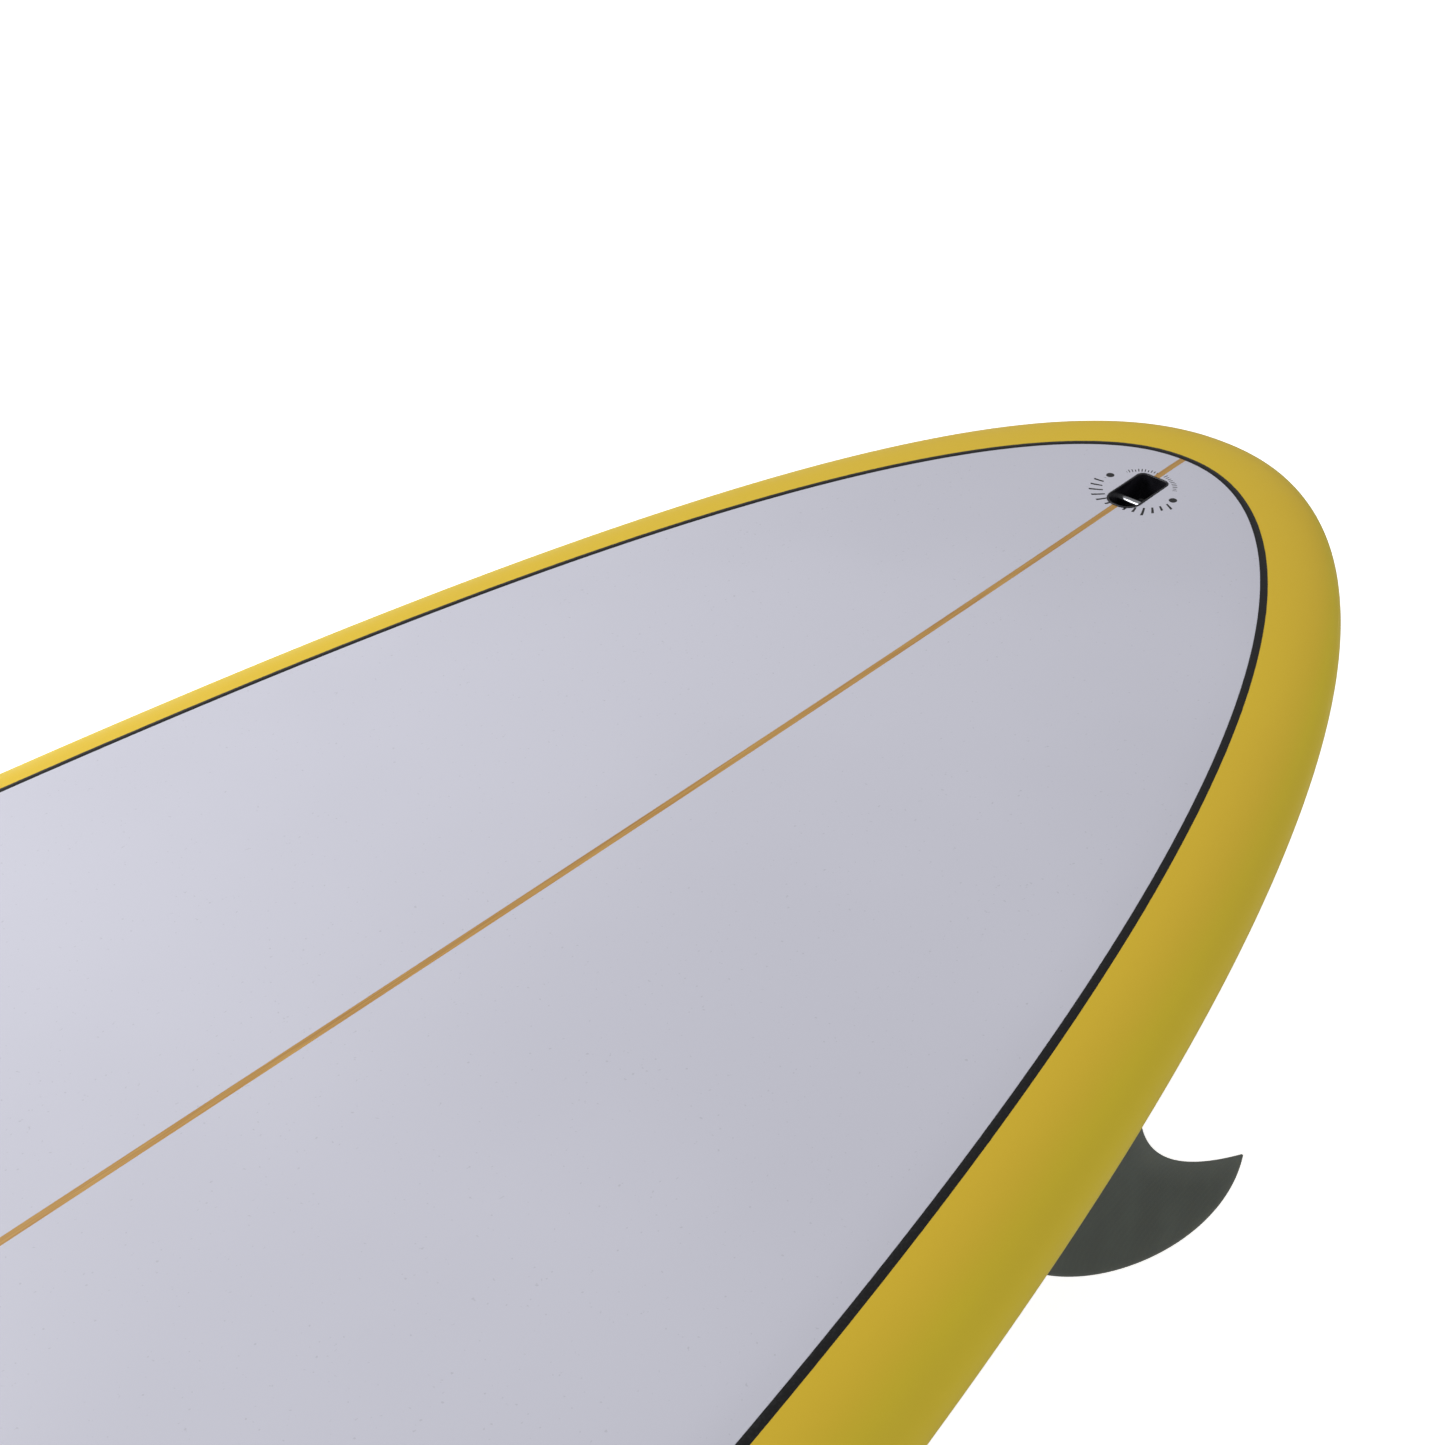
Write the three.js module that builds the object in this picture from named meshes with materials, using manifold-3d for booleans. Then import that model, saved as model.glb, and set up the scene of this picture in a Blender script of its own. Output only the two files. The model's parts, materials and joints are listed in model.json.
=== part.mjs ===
// Longboard surfboard: foam core, glassed skins, leash plug and a 2+1 fin set.
// Millimetres, +X towards the nose, +Y to the rider's left, +Z up through the deck.
import * as THREE from 'three';
import { mergeVertices } from 'three/addons/utils/BufferGeometryUtils.js';
import Module from 'manifold-3d';

const wasm = await Module();
wasm.setup();

// ---------------------------------------------------------------- driving dimensions
const LENGTH = 2743;               // nine feet
const WIDTH = 594;
const THICKNESS = 76;
const WIDE_POINT = 0.492 * LENGTH; // widest and thickest station, from the tail
const TAIL_FULLNESS = 2.5;         // outline exponents behind the wide point
const TAIL_ROUND = 2.08;
const NOSE_FULLNESS = 3.0;         // and ahead of it
const NOSE_ROUND = 2.25;
const TAIL_ROCKER = 61;
const TAIL_KICK = 3.8;
const NOSE_ROCKER = 105;
const NOSE_KICK = 2.7;
const TAIL_EDGE = 15;              // thickness at the very tail and nose
const NOSE_EDGE = 14;
const FOIL_POWER = 3.3;
const APEX = 0.45;                 // height of the rail's widest line, as a part of the thickness
const DECK_BLEND = 54;             // how far in the deck's rounding reaches
const BELLY_BLEND = 73;
const DECK_ROLL_TAIL = 2.7;
const DECK_ROLL_MID = 2.2;
const BELLY_ROLL = 2.0;
const CROWN = 0.42;                // how much lower the deck is at full width

const SKIN = 2.0;                  // glass and filler coat
const GAP = 0.3;                   // between pieces that touch
const STRINGER = 3.2;
const PINLINE_INSET = 33.2;
const PINLINE = 3.4;
const LAP_INSET = 62;              // rail band's width under the board
const TAIL_PATCH = 150;            // the tail patch reaches this far from the tail

const PLUG_STATION = 74.7;
const PLUG_LIP = [33.4, 17.4];     // what shows in the deck
const PLUG_LIP_WALL = 1.0;
const PLUG_FLANGE = 2.6;           // how far the plug reaches under the deck skin
const SHOULDER_ROOM = 0.69;        // least room over the flange, for the deck's curve
const PLUG_FLOOR = 2.2;
const PLUG_DEPTH = 14.5;
const PLUG_BAR_R = 2.0;
const PLUG_BAR_DROP = 6.2;

const CENTER_STATION = 276;        // middle of the long fin box, from the tail
const CENTER_SLOT_LENGTH = 252;
const CENTER_SLOT_WIDTH = 9.9;
const CENTER_SLOT_DEPTH = 19;
const CENTER_WALL = [7.5, 5.05, 5]; // ends, sides and top round the slot
const CENTER_RIM = [5, 3.5, 2.4];   // flange past the box, and its thickness
const GROOVE_REACH = 2.55;          // into each side wall
const GROOVE_HEIGHT = 5;
const GROOVE_FLOOR = 9;             // above the mouth
const CENTER_TAB_LENGTH = 164;
const CENTER_TAB_ROOM = 2;          // above the tab
const CENTER_FIN_DEPTH = 178;
const CENTER_FIN_BASE = 140;
const PIN_R = 2.0;
const PIN_END_ROOM = 0.5;           // at each end of the pin and of the plate
const PLATE_HALF = [8, 1.6];        // half length and half thickness of the plate nut
const SCREW_R = 2.0;
const SCREW_HEAD = [4.0, 0.5, 3.1]; // radius, and how far in its two faces lie
const TONGUE = 4;                   // thickness of the tab's tongue under the screw head

const SIDE_STATION = 372;
const SIDE_OFFSET = 190;           // from the stringer
const SIDE_CANT = 0.10;            // radians outwards
const SIDE_TOE = 0.035;            // radians inwards at the front
const SIDE_SLOT_LENGTH = 114;
const SIDE_SLOT_WIDTH = 7.0;
const SIDE_SLOT_DEPTH = 14.5;
const SIDE_WALL = [10, 4, 3.5];     // ends, sides and top round the slot
const SIDE_SHIFT = -3;              // slot behind the box's middle, with room for the screw
const SIDE_TAB_ROOM = 1;
const SIDE_FIN_DEPTH = 126;
const SIDE_FIN_BASE = 108;
const SET_SCREW_R = 2.2;

const CENTER_SLOT = [CENTER_SLOT_LENGTH, CENTER_SLOT_WIDTH, CENTER_SLOT_DEPTH];
const CENTER_BOX = walled(CENTER_SLOT, CENTER_WALL);
const CENTER_FLANGE = [CENTER_BOX[0] + 2 * CENTER_RIM[0], CENTER_BOX[1] + 2 * CENTER_RIM[1], CENTER_RIM[2]];
const CENTER_TAB = [CENTER_TAB_LENGTH, CENTER_SLOT_WIDTH - 2 * GAP, CENTER_SLOT_DEPTH - CENTER_TAB_ROOM];
const GROOVE = [CENTER_SLOT_WIDTH + 2 * GROOVE_REACH, GROOVE_HEIGHT, GROOVE_FLOOR];
const SIDE_SLOT = [SIDE_SLOT_LENGTH, SIDE_SLOT_WIDTH, SIDE_SLOT_DEPTH];
const SIDE_BOX = walled(SIDE_SLOT, SIDE_WALL);
const SIDE_TAB = [SIDE_SLOT_LENGTH - 2 * GAP, SIDE_SLOT_WIDTH - 2 * GAP, SIDE_SLOT_DEPTH - SIDE_TAB_ROOM];

function walled(slot, wall) {
  return [slot[0] + 2 * wall[0], slot[1] + 2 * wall[1], slot[2] + wall[2]];
}

const OUTLINE_STATIONS = 36;

// ---------------------------------------------------------------- hull shape
function tailPart(s) {
  return Math.max(0, 1 - s / WIDE_POINT);
}

function nosePart(s) {
  return Math.max(0, (s - WIDE_POINT) / (LENGTH - WIDE_POINT));
}

function halfWidth(s) {
  const tail = Math.max(0, 1 - tailPart(s) ** TAIL_FULLNESS) ** (1 / TAIL_ROUND);
  const nose = Math.max(0, 1 - nosePart(s) ** NOSE_FULLNESS) ** (1 / NOSE_ROUND);
  return (WIDTH / 2) * tail * nose;
}

function rocker(s) {
  return TAIL_ROCKER * tailPart(s) ** TAIL_KICK + NOSE_ROCKER * nosePart(s) ** NOSE_KICK;
}

function thickness(s) {
  const tail = (THICKNESS - TAIL_EDGE) * tailPart(s) ** FOIL_POWER;
  const nose = (THICKNESS - NOSE_EDGE) * nosePart(s) ** FOIL_POWER;
  return THICKNESS - tail - nose;
}

function railHeight(s) {
  return rocker(s) + APEX * thickness(s);
}

function deckRoll(s) {
  const end = Math.max(tailPart(s), nosePart(s));
  return DECK_ROLL_MID + (DECK_ROLL_TAIL - DECK_ROLL_MID) * end;
}

function rounding(inset, reach, power) {
  const r = Math.min(1, Math.max(0, 1 - inset / reach));
  return Math.sqrt(1 - r ** power);
}

function deckHeight(s, y, inset) {
  const rise = (1 - APEX) * thickness(s) * rounding(inset, DECK_BLEND, deckRoll(s));
  return railHeight(s) + rise * (1 - CROWN * (2 * y / WIDTH) ** 2);
}

function bellyHeight(s, y, inset) {
  return railHeight(s) - APEX * thickness(s) * rounding(inset, BELLY_BLEND, BELLY_ROLL);
}

// One side of the outline, tail to nose, as [station, half width, inward unit normal].
function outline(count) {
  const points = [];
  for (let i = 0; i < count; i += 1) {
    const s = (LENGTH / 2) * (1 - Math.cos((Math.PI * i) / (count - 1)));
    const step = 0.5;
    const before = Math.max(0, s - step);
    const after = Math.min(LENGTH, s + step);
    let normal = [1, 0];
    if (i === count - 1) {
      normal = [-1, 0];
    } else if (i > 0) {
      const slope = (halfWidth(after) - halfWidth(before)) / (after - before);
      const size = Math.hypot(1, slope);
      normal = [slope / size, -1 / size];
    }
    points.push([s, halfWidth(s), normal]);
  }
  return points;
}

const FINE_OUTLINE = outline(240);

// Shortest way from a point of the plan to the outline.
function insetOf(s, y) {
  let best = Infinity;
  for (let i = 1; i < FINE_OUTLINE.length; i += 1) {
    const [ax, ay] = FINE_OUTLINE[i - 1];
    const [bx, by] = FINE_OUTLINE[i];
    const dx = bx - ax;
    const dy = by - ay;
    const t = ((s - ax) * dx + (Math.abs(y) - ay) * dy) / (dx * dx + dy * dy);
    const k = Math.min(1, Math.max(0, t));
    best = Math.min(best, Math.hypot(s - ax - k * dx, Math.abs(y) - ay - k * dy));
  }
  return best;
}

// The outline moved inwards, all the way round, as [station, y] pairs.
function insetLoop(inset, count = OUTLINE_STATIONS) {
  const left = [];
  for (const [s, w, n] of outline(count)) {
    left.push([s + n[0] * inset, Math.max(0, w + n[1] * inset)]);
  }
  const right = left.slice(1, -1).reverse().map(([s, y]) => [s, -y]);
  return left.concat(right);
}

// ---------------------------------------------------------------- mesh helpers
function geometryOf(points, triangles) {
  const geometry = new THREE.BufferGeometry();
  geometry.setAttribute('position', new THREE.Float32BufferAttribute(points.flat(), 3));
  geometry.setIndex(triangles.flat());
  return geometry;
}

function solid(geometry) {
  const bare = geometry.clone();
  bare.deleteAttribute('normal');
  bare.deleteAttribute('uv');
  const merged = mergeVertices(bare, 1e-4);
  const mesh = new wasm.Mesh({
    numProp: 3,
    vertProperties: new Float32Array(merged.attributes.position.array),
    triVerts: new Uint32Array(merged.index.array),
  });
  return new wasm.Manifold(mesh);
}

function geometryFrom(body) {
  const mesh = body.getMesh();
  const geometry = new THREE.BufferGeometry();
  geometry.setAttribute('position', new THREE.BufferAttribute(new Float32Array(mesh.vertProperties), 3));
  geometry.setIndex(new THREE.BufferAttribute(new Uint32Array(mesh.triVerts), 1));
  return geometry;
}

// Closed skin over a row of equal rings.
function loft(rings) {
  const n = rings[0].length;
  const points = rings.flat();
  const triangles = [];
  for (let j = 0; j + 1 < rings.length; j += 1) {
    for (let i = 0; i < n; i += 1) {
      const a = j * n + i;
      const b = j * n + ((i + 1) % n);
      triangles.push([a, b, b + n], [a, b + n, a + n]);
    }
  }
  const last = (rings.length - 1) * n;
  for (let i = 1; i + 1 < n; i += 1) {
    triangles.push([0, i + 1, i], [last, last + i, last + i + 1]);
  }
  return geometryOf(points, triangles);
}

// Upright prism over a closed loop of [x, y] pairs.
function prism(loop, low, high) {
  const shape = new THREE.Shape(loop.map(([x, y]) => new THREE.Vector2(x, y)));
  const geometry = new THREE.ExtrudeGeometry(shape, { depth: high - low, bevelEnabled: false });
  return solid(geometry.translate(0, 0, low));
}

function block(x, y, z) {
  const geometry = new THREE.BoxGeometry(x[1] - x[0], y[1] - y[0], z[1] - z[0]);
  geometry.translate((x[0] + x[1]) / 2, (y[0] + y[1]) / 2, (z[0] + z[1]) / 2);
  return solid(geometry);
}

// Rounded plan shape, long in X: corner radii at its tail end and its nose end.
function roundedLoop(length, width, tailRadius, noseRadius, steps = 5) {
  const loop = [];
  const corners = [
    [length / 2 - noseRadius, width / 2 - noseRadius, noseRadius, 0],
    [-length / 2 + tailRadius, width / 2 - tailRadius, tailRadius, 1],
    [-length / 2 + tailRadius, -width / 2 + tailRadius, tailRadius, 2],
    [length / 2 - noseRadius, -width / 2 + noseRadius, noseRadius, 3],
  ];
  for (const [cx, cy, radius, quarter] of corners) {
    for (let i = 0; i <= steps; i += 1) {
      const angle = (quarter + i / steps) * (Math.PI / 2);
      loop.push([cx + radius * Math.cos(angle), cy + radius * Math.sin(angle)]);
    }
  }
  return loop;
}

// A slot's plan shape: straight sides, half-round ends.
function slotLoop(length, width, shift = 0) {
  const radius = width / 2 - 0.001;
  return roundedLoop(length, width, radius, radius, 4).map(([x, y]) => [x + shift, y]);
}

function rod(radius, low, high, sides = 20) {
  const geometry = new THREE.CylinderGeometry(radius, radius, high - low, sides);
  geometry.rotateX(Math.PI / 2);
  geometry.translate(0, 0, (low + high) / 2);
  return geometry;
}

// ---------------------------------------------------------------- hull solid
// Rings round the rail, then straight lines across the deck and the belly.
const RAIL_ANGLES = [24, 46, 66];
const ACROSS = [0.85, 0.48, 0, -0.48, -0.85];

function ringInset(angle, reach, power) {
  return reach * (1 - Math.cos(THREE.MathUtils.degToRad(angle)) ** (2 / power));
}

function surfaceRing(angle, side) {
  const left = [];
  for (const [s, w, n] of outline(OUTLINE_STATIONS)) {
    const power = side > 0 ? deckRoll(s) : BELLY_ROLL;
    const inset = ringInset(angle, side > 0 ? DECK_BLEND : BELLY_BLEND, power);
    const x = s + n[0] * inset;
    const y = Math.max(0, w + n[1] * inset);
    const z = side > 0 ? deckHeight(x, y, inset) : bellyHeight(x, y, inset);
    left.push([x, y, z]);
  }
  const right = left.slice(1, -1).reverse().map(([x, y, z]) => [x, -y, z]);
  return left.concat(right);
}

function hullMesh() {
  const count = OUTLINE_STATIONS;
  const loop = 2 * count - 2;
  const points = [];
  const triangles = [];
  const rimRow = insetLoop(0).map(([s, y]) => [s, y, railHeight(s)]);
  points.push(...rimRow);
  for (const side of [1, -1]) {
    const face = (a, b, c) => triangles.push(side > 0 ? [a, b, c] : [a, c, b]);
    let below = 0;
    let ring = rimRow;
    for (const angle of RAIL_ANGLES) {
      ring = surfaceRing(angle, side);
      const base = points.length;
      points.push(...ring);
      for (let i = 0; i < loop; i += 1) {
        const j = (i + 1) % loop;
        face(below + i, base + i, base + j);
        face(below + i, base + j, below + j);
      }
      below = base;
    }
    let previous = null;
    for (let k = 1; k < count - 1; k += 1) {
      const [x, y] = ring[k];
      const row = [below + k];
      for (const f of ACROSS) {
        const inset = insetOf(x, y * f);
        const z = side > 0 ? deckHeight(x, y * f, inset) : bellyHeight(x, y * f, inset);
        row.push(points.length);
        points.push([x, y * f, z]);
      }
      row.push(below + loop - k);
      for (let i = 0; i + 1 < row.length; i += 1) {
        if (previous) {
          face(previous[i], row[i + 1], row[i]);
          face(previous[i], previous[i + 1], row[i + 1]);
        } else {
          face(below, row[i + 1], row[i]);
        }
      }
      previous = row;
    }
    for (let i = 0; i + 1 < previous.length; i += 1) {
      face(below + count - 1, previous[i], previous[i + 1]);
    }
  }
  return geometryOf(points, triangles);
}

// The same mesh with each corner moved in along the surface's own normal.
function shrunk(geometry, depth) {
  const copy = geometry.clone();
  copy.computeVertexNormals();
  const at = copy.attributes.position;
  const normal = copy.attributes.normal;
  for (let i = 0; i < at.count; i += 1) {
    at.setXYZ(
      i,
      at.getX(i) - normal.getX(i) * depth,
      at.getY(i) - normal.getY(i) * depth,
      at.getZ(i) - normal.getZ(i) * depth,
    );
  }
  return copy;
}

// Everything above the rail's widest line.
function upperRegion() {
  const rings = [];
  for (let i = 0; i <= 40; i += 1) {
    const s = -20 + ((LENGTH + 40) * i) / 40;
    const z = railHeight(Math.min(LENGTH, Math.max(0, s)));
    const y = WIDTH;
    rings.push([[s, -y, z], [s, y, z], [s, y, z + 400], [s, -y, z + 400]]);
  }
  return solid(loft(rings));
}

const HULL = hullMesh();
const outer = solid(HULL);
const inner = solid(shrunk(HULL, SKIN));
const coreHull = solid(shrunk(HULL, SKIN + GAP)).intersect(inner);
const shell = outer.subtract(inner);
const upper = upperRegion();

function region(inset) {
  return prism(insetLoop(inset), -50, 300);
}

function slab(halfThickness) {
  return block([-20, LENGTH + 20], [-halfThickness, halfThickness], [-50, 300]);
}

// ---------------------------------------------------------------- local frames
// Plug and boxes are drawn with +X forwards and +Z into the board, mouth at z = 0.
function frameAt(station, offset, cant, toe) {
  const inset = insetOf(station, offset);
  const before = bellyHeight(station - 50, offset, insetOf(station - 50, offset));
  const after = bellyHeight(station + 50, offset, insetOf(station + 50, offset));
  const side = Math.sign(offset);
  const forward = new THREE.Vector3(100, -side * toe * 100, after - before).normalize();
  const tilt = new THREE.Vector3(0, -side * Math.sin(cant), Math.cos(cant));
  const left = new THREE.Vector3().crossVectors(tilt, forward).normalize();
  const up = new THREE.Vector3().crossVectors(forward, left);
  const matrix = new THREE.Matrix4().makeBasis(forward, left, up);
  matrix.setPosition(station, offset, bellyHeight(station, offset, inset));
  return matrix;
}

function placed(body, matrix) {
  return solid(geometryFrom(body).applyMatrix4(matrix));
}

const plugTop = deckHeight(PLUG_STATION, 0, insetOf(PLUG_STATION, 0)) + GAP;
const plugFrame = new THREE.Matrix4().makeTranslation(PLUG_STATION, 0, plugTop);
const centerFrame = frameAt(CENTER_STATION, 0, 0, 0);
const sideFrames = {
  left: frameAt(SIDE_STATION, SIDE_OFFSET, SIDE_CANT, SIDE_TOE),
  right: frameAt(SIDE_STATION, -SIDE_OFFSET, SIDE_CANT, SIDE_TOE),
};

// ---------------------------------------------------------------- leash plug
// How far the deck falls away from the plug's middle, at the ends of the plug's flange.
function plugSag() {
  const reach = PLUG_LIP[0] / 2 + PLUG_FLANGE;
  const stations = [PLUG_STATION - reach, PLUG_STATION, PLUG_STATION + reach];
  const heights = stations.map((s) => deckHeight(s, 0, insetOf(s, 0)));
  return heights[1] - Math.min(...heights);
}

// The flange clears the sloping skin, with the deck's curve across the board in SHOULDER_ROOM.
const plugShoulder = -(SKIN + GAP + Math.max(SHOULDER_ROOM, plugSag() + 1.3 * GAP));

function plugLoop(reach) {
  return roundedLoop(PLUG_LIP[0] + 2 * reach, PLUG_LIP[1] + 2 * reach, 4 + reach, 8 + reach);
}

// The plug's own outer shape, or with grow the hole it sits in; top is how far up the body goes.
function plugBody(grow, top = plugShoulder + grow) {
  const body = prism(plugLoop(PLUG_FLANGE + grow), -PLUG_DEPTH - PLUG_FLOOR - grow, top);
  return body.add(plugCollar(grow, grow > 0 ? 20 : 0));
}

function plugCollar(grow, top) {
  return prism(plugLoop(grow), plugShoulder - 1, top);
}

function plugBar(radius, reach) {
  const half = PLUG_LIP[1] / 2 - PLUG_LIP_WALL + reach;
  const geometry = rod(radius, -half, half, 24);
  geometry.rotateX(Math.PI / 2);
  geometry.translate(1.5, 0, -PLUG_BAR_DROP);
  return solid(geometry);
}

function leashCup() {
  const hollow = prism(plugLoop(-PLUG_LIP_WALL), -PLUG_DEPTH, 5);
  return plugBody(0).subtract(hollow).subtract(plugBar(PLUG_BAR_R + GAP, 2.4));
}

// ---------------------------------------------------------------- fins
// NACA four-digit half thickness along the chord, closed at the trailing edge.
function foil(u) {
  const root = Math.sqrt(u);
  return 5 * (0.2969 * root - 0.126 * u - 0.3516 * u ** 2 + 0.2843 * u ** 3 - 0.1036 * u ** 4);
}

function bezier(p, t) {
  const q = 1 - t;
  const w = [q * q * q, 3 * q * q * t, 3 * q * t * t, t * t * t];
  return [0, 1].map((axis) => w.reduce((sum, k, i) => sum + k * p[i][axis], 0));
}

// A blade hanging below z = 0: leading and trailing curves as [x, depth] control points.
function blade(leading, trailing, rootThickness, faces, rise) {
  const spans = 11;
  const chords = 9;
  const rings = [];
  for (let j = -1; j < spans; j += 1) {
    const t = Math.max(0, j) / spans;
    const front = bezier(leading, t);
    const back = bezier(trailing, t);
    const chord = Math.hypot(front[0] - back[0], front[1] - back[1]);
    const root = Math.hypot(leading[0][0] - trailing[0][0], 0);
    const thick = rootThickness * Math.min(1, chord / root) ** 0.9 * (1 - 0.35 * t);
    const up = j < 0 ? rise : 0;
    const ring = [];
    for (let i = 0; i <= 2 * chords - 1; i += 1) {
      const around = i <= chords ? i : 2 * chords - i;
      const side = i <= chords ? 1 : -1;
      const u = 0.5 * (1 - Math.cos((Math.PI * around) / chords));
      const x = front[0] + (back[0] - front[0]) * u;
      const z = -(front[1] + (back[1] - front[1]) * u) + up;
      const half = thick * foil(u) * faces[side > 0 ? 0 : 1];
      ring.push([x, side * half, z]);
    }
    rings.push(ring);
  }
  return bladeMesh(rings, bezier(leading, 1));
}

// Rings joined in order, a flat root and a single point at the tip.
function bladeMesh(rings, tip) {
  const n = rings[0].length;
  const points = rings.flat();
  const triangles = [];
  for (let j = 0; j + 1 < rings.length; j += 1) {
    for (let i = 0; i < n; i += 1) {
      const a = j * n + i;
      const b = j * n + ((i + 1) % n);
      triangles.push([a, b + n, b], [a, a + n, b + n]);
    }
  }
  const last = (rings.length - 1) * n;
  const end = points.length;
  points.push([tip[0], 0, -tip[1]]);
  for (let i = 0; i < n; i += 1) {
    triangles.push([last + i, end, last + ((i + 1) % n)]);
  }
  const half = n / 2;
  for (let i = 0; i < half; i += 1) {
    const a = i;
    const b = i + 1;
    const c = (n - i) % n;
    const d = n - i - 1;
    if (a !== c) triangles.push([a, b, c]);
    if (b !== d) triangles.push([b, d, c]);
  }
  return geometryOf(points, triangles);
}

function centerFinBlade() {
  const base = CENTER_FIN_BASE;
  const deep = CENTER_FIN_DEPTH;
  const tip = [-0.74 * base, 0.98 * deep];
  const leading = [[0.5 * base, 0], [0.4 * base, 0.48 * deep], [-0.2 * base, 1.16 * deep], tip];
  const trailing = [[-0.5 * base, 0], [-0.2 * base, 0.26 * deep], [-0.3 * base, 0.62 * deep], tip];
  const geometry = blade(leading, trailing, CENTER_TAB[1], [1, 1], 2.5);
  return solid(geometry.translate((base - CENTER_TAB[0]) / 2, 0, 0));
}

function sideFinBlade(side) {
  const base = SIDE_FIN_BASE;
  const deep = SIDE_FIN_DEPTH;
  const tip = [-0.87 * base, 0.885 * deep];
  const leading = [[0.5 * base, 0], [0.62 * base, 0.56 * deep], [-0.67 * base, 1.31 * deep], tip];
  const trailing = [[-0.5 * base, 0], [-0.23 * base, 0.24 * deep], [-0.2 * base, 0.52 * deep], tip];
  return solid(blade(leading, trailing, SIDE_TAB[1], side > 0 ? [1, 0.04] : [0.04, 1], 2.5));
}

// ---------------------------------------------------------------- centre fin box
const screwX = CENTER_TAB[0] / 2 - 12;
const pinX = -CENTER_TAB[0] / 2 + 20;
const grooveMiddle = GROOVE[2] + GROOVE[1] / 2;

function centerBoxBody(grow) {
  const body = slotLoop(CENTER_BOX[0] + 2 * grow, CENTER_BOX[1] + 2 * grow);
  const flange = slotLoop(CENTER_FLANGE[0] + 2 * grow, CENTER_FLANGE[1] + 2 * grow);
  return prism(body, -12, CENTER_BOX[2] + grow).add(prism(flange, -12, CENTER_FLANGE[2] + grow));
}

function centerBox() {
  const slot = prism(slotLoop(CENTER_SLOT[0], CENTER_SLOT[1]), -20, CENTER_SLOT[2]);
  const reach = CENTER_SLOT[0] / 2 - 4;
  const grooves = block([-reach, reach], [-GROOVE[0] / 2, GROOVE[0] / 2], [GROOVE[2], GROOVE[2] + GROOVE[1]]);
  const entry = block([-reach, -reach + 7], [-GROOVE[0] / 2, GROOVE[0] / 2], [-20, grooveMiddle]);
  return centerBoxBody(0).subtract(slot).subtract(grooves).subtract(entry);
}

function centerFin() {
  const [length, width, depth] = CENTER_TAB;
  const step = screwX - 10;
  const tab = block([-length / 2, step], [-width / 2, width / 2], [1, depth]);
  const seat = SCREW_HEAD[2] + GAP;
  const tongue = block([step - 1, length / 2], [-width / 2, width / 2], [seat, seat + TONGUE]);
  const screwHole = solid(rod(SCREW_R + GAP + 0.1, -5, 20).translate(screwX, 0, 0));
  const pinHole = rod(PIN_R + GAP, -20, 20).rotateX(Math.PI / 2).translate(pinX, 0, grooveMiddle);
  return centerFinBlade().add(tab).add(tongue).subtract(screwHole).subtract(solid(pinHole));
}

function rollPin() {
  const half = GROOVE[0] / 2 - PIN_END_ROOM;
  return solid(rod(PIN_R, -half, half).rotateX(Math.PI / 2).translate(pinX, 0, grooveMiddle));
}

function plateNut() {
  const half = GROOVE[0] / 2 - PIN_END_ROOM;
  const [reach, rise] = PLATE_HALF;
  const heights = [grooveMiddle - rise, grooveMiddle + rise];
  const plate = block([screwX - reach, screwX + reach], [-half, half], heights);
  return plate.subtract(solid(rod(SCREW_R + GAP, 0, 20).translate(screwX, 0, 0)));
}

function finScrew() {
  const [radius, near, far] = SCREW_HEAD;
  const head = solid(rod(radius, near, far, 24).translate(screwX, 0, 0));
  const shank = solid(rod(SCREW_R, far - 0.1, grooveMiddle + 4).translate(screwX, 0, 0));
  const cut = block([screwX - 3, screwX + 3], [-0.6, 0.6], [0, 1.9]);
  return head.add(shank).subtract(cut);
}

// ---------------------------------------------------------------- side fin boxes
const setScrewX = SIDE_SHIFT + SIDE_SLOT[0] / 2 + SET_SCREW_R;

function sideBoxBody(grow) {
  return prism(slotLoop(SIDE_BOX[0] + 2 * grow, SIDE_BOX[1] + 2 * grow), -12, SIDE_BOX[2] + grow);
}

function sideBox() {
  const slot = prism(slotLoop(SIDE_SLOT[0], SIDE_SLOT[1], SIDE_SHIFT), -20, SIDE_SLOT[2]);
  const hole = solid(rod(SET_SCREW_R + GAP, -20, 12).translate(setScrewX, 0, 0));
  return sideBoxBody(0).subtract(slot).subtract(hole);
}

function sideFin(side) {
  const tab = prism(slotLoop(SIDE_TAB[0], SIDE_TAB[1], SIDE_SHIFT), 1, SIDE_TAB[2]);
  return sideFinBlade(side).add(tab);
}

function setScrew() {
  const body = solid(rod(SET_SCREW_R, 2.2, 11).translate(setScrewX, 0, 0));
  const socket = new THREE.CylinderGeometry(1.25, 1.25, 3, 6);
  socket.rotateX(Math.PI / 2).translate(setScrewX, 0, 2.6);
  return body.subtract(solid(socket));
}

// ---------------------------------------------------------------- hull pieces
// Room for the plug and the boxes, as cut in each layer.
function pockets(plugRoom) {
  const cuts = [
    placed(plugRoom, plugFrame),
    placed(centerBoxBody(GAP), centerFrame),
    placed(sideBoxBody(GAP), sideFrames.left),
    placed(sideBoxBody(GAP), sideFrames.right),
  ];
  return cuts.reduce((all, cut) => all.add(cut));
}

const corePocket = pockets(plugBody(GAP, 20));
const stringerPocket = pockets(plugBody(GAP));
const skinPocket = pockets(prism(plugLoop(GAP), -8, 20));
const deckPatch = upper.intersect(region(PINLINE_INSET + PINLINE + GAP));
const bellyPatch = region(LAP_INSET + GAP).subtract(upper);

function halfBoard(side, from) {
  const y = side > 0 ? [from, WIDTH] : [-WIDTH, -from];
  return block([-20, LENGTH + 20], y, [-50, 300]);
}

function foamCore(side) {
  return coreHull.intersect(halfBoard(side, STRINGER / 2 + GAP)).subtract(corePocket);
}

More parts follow.
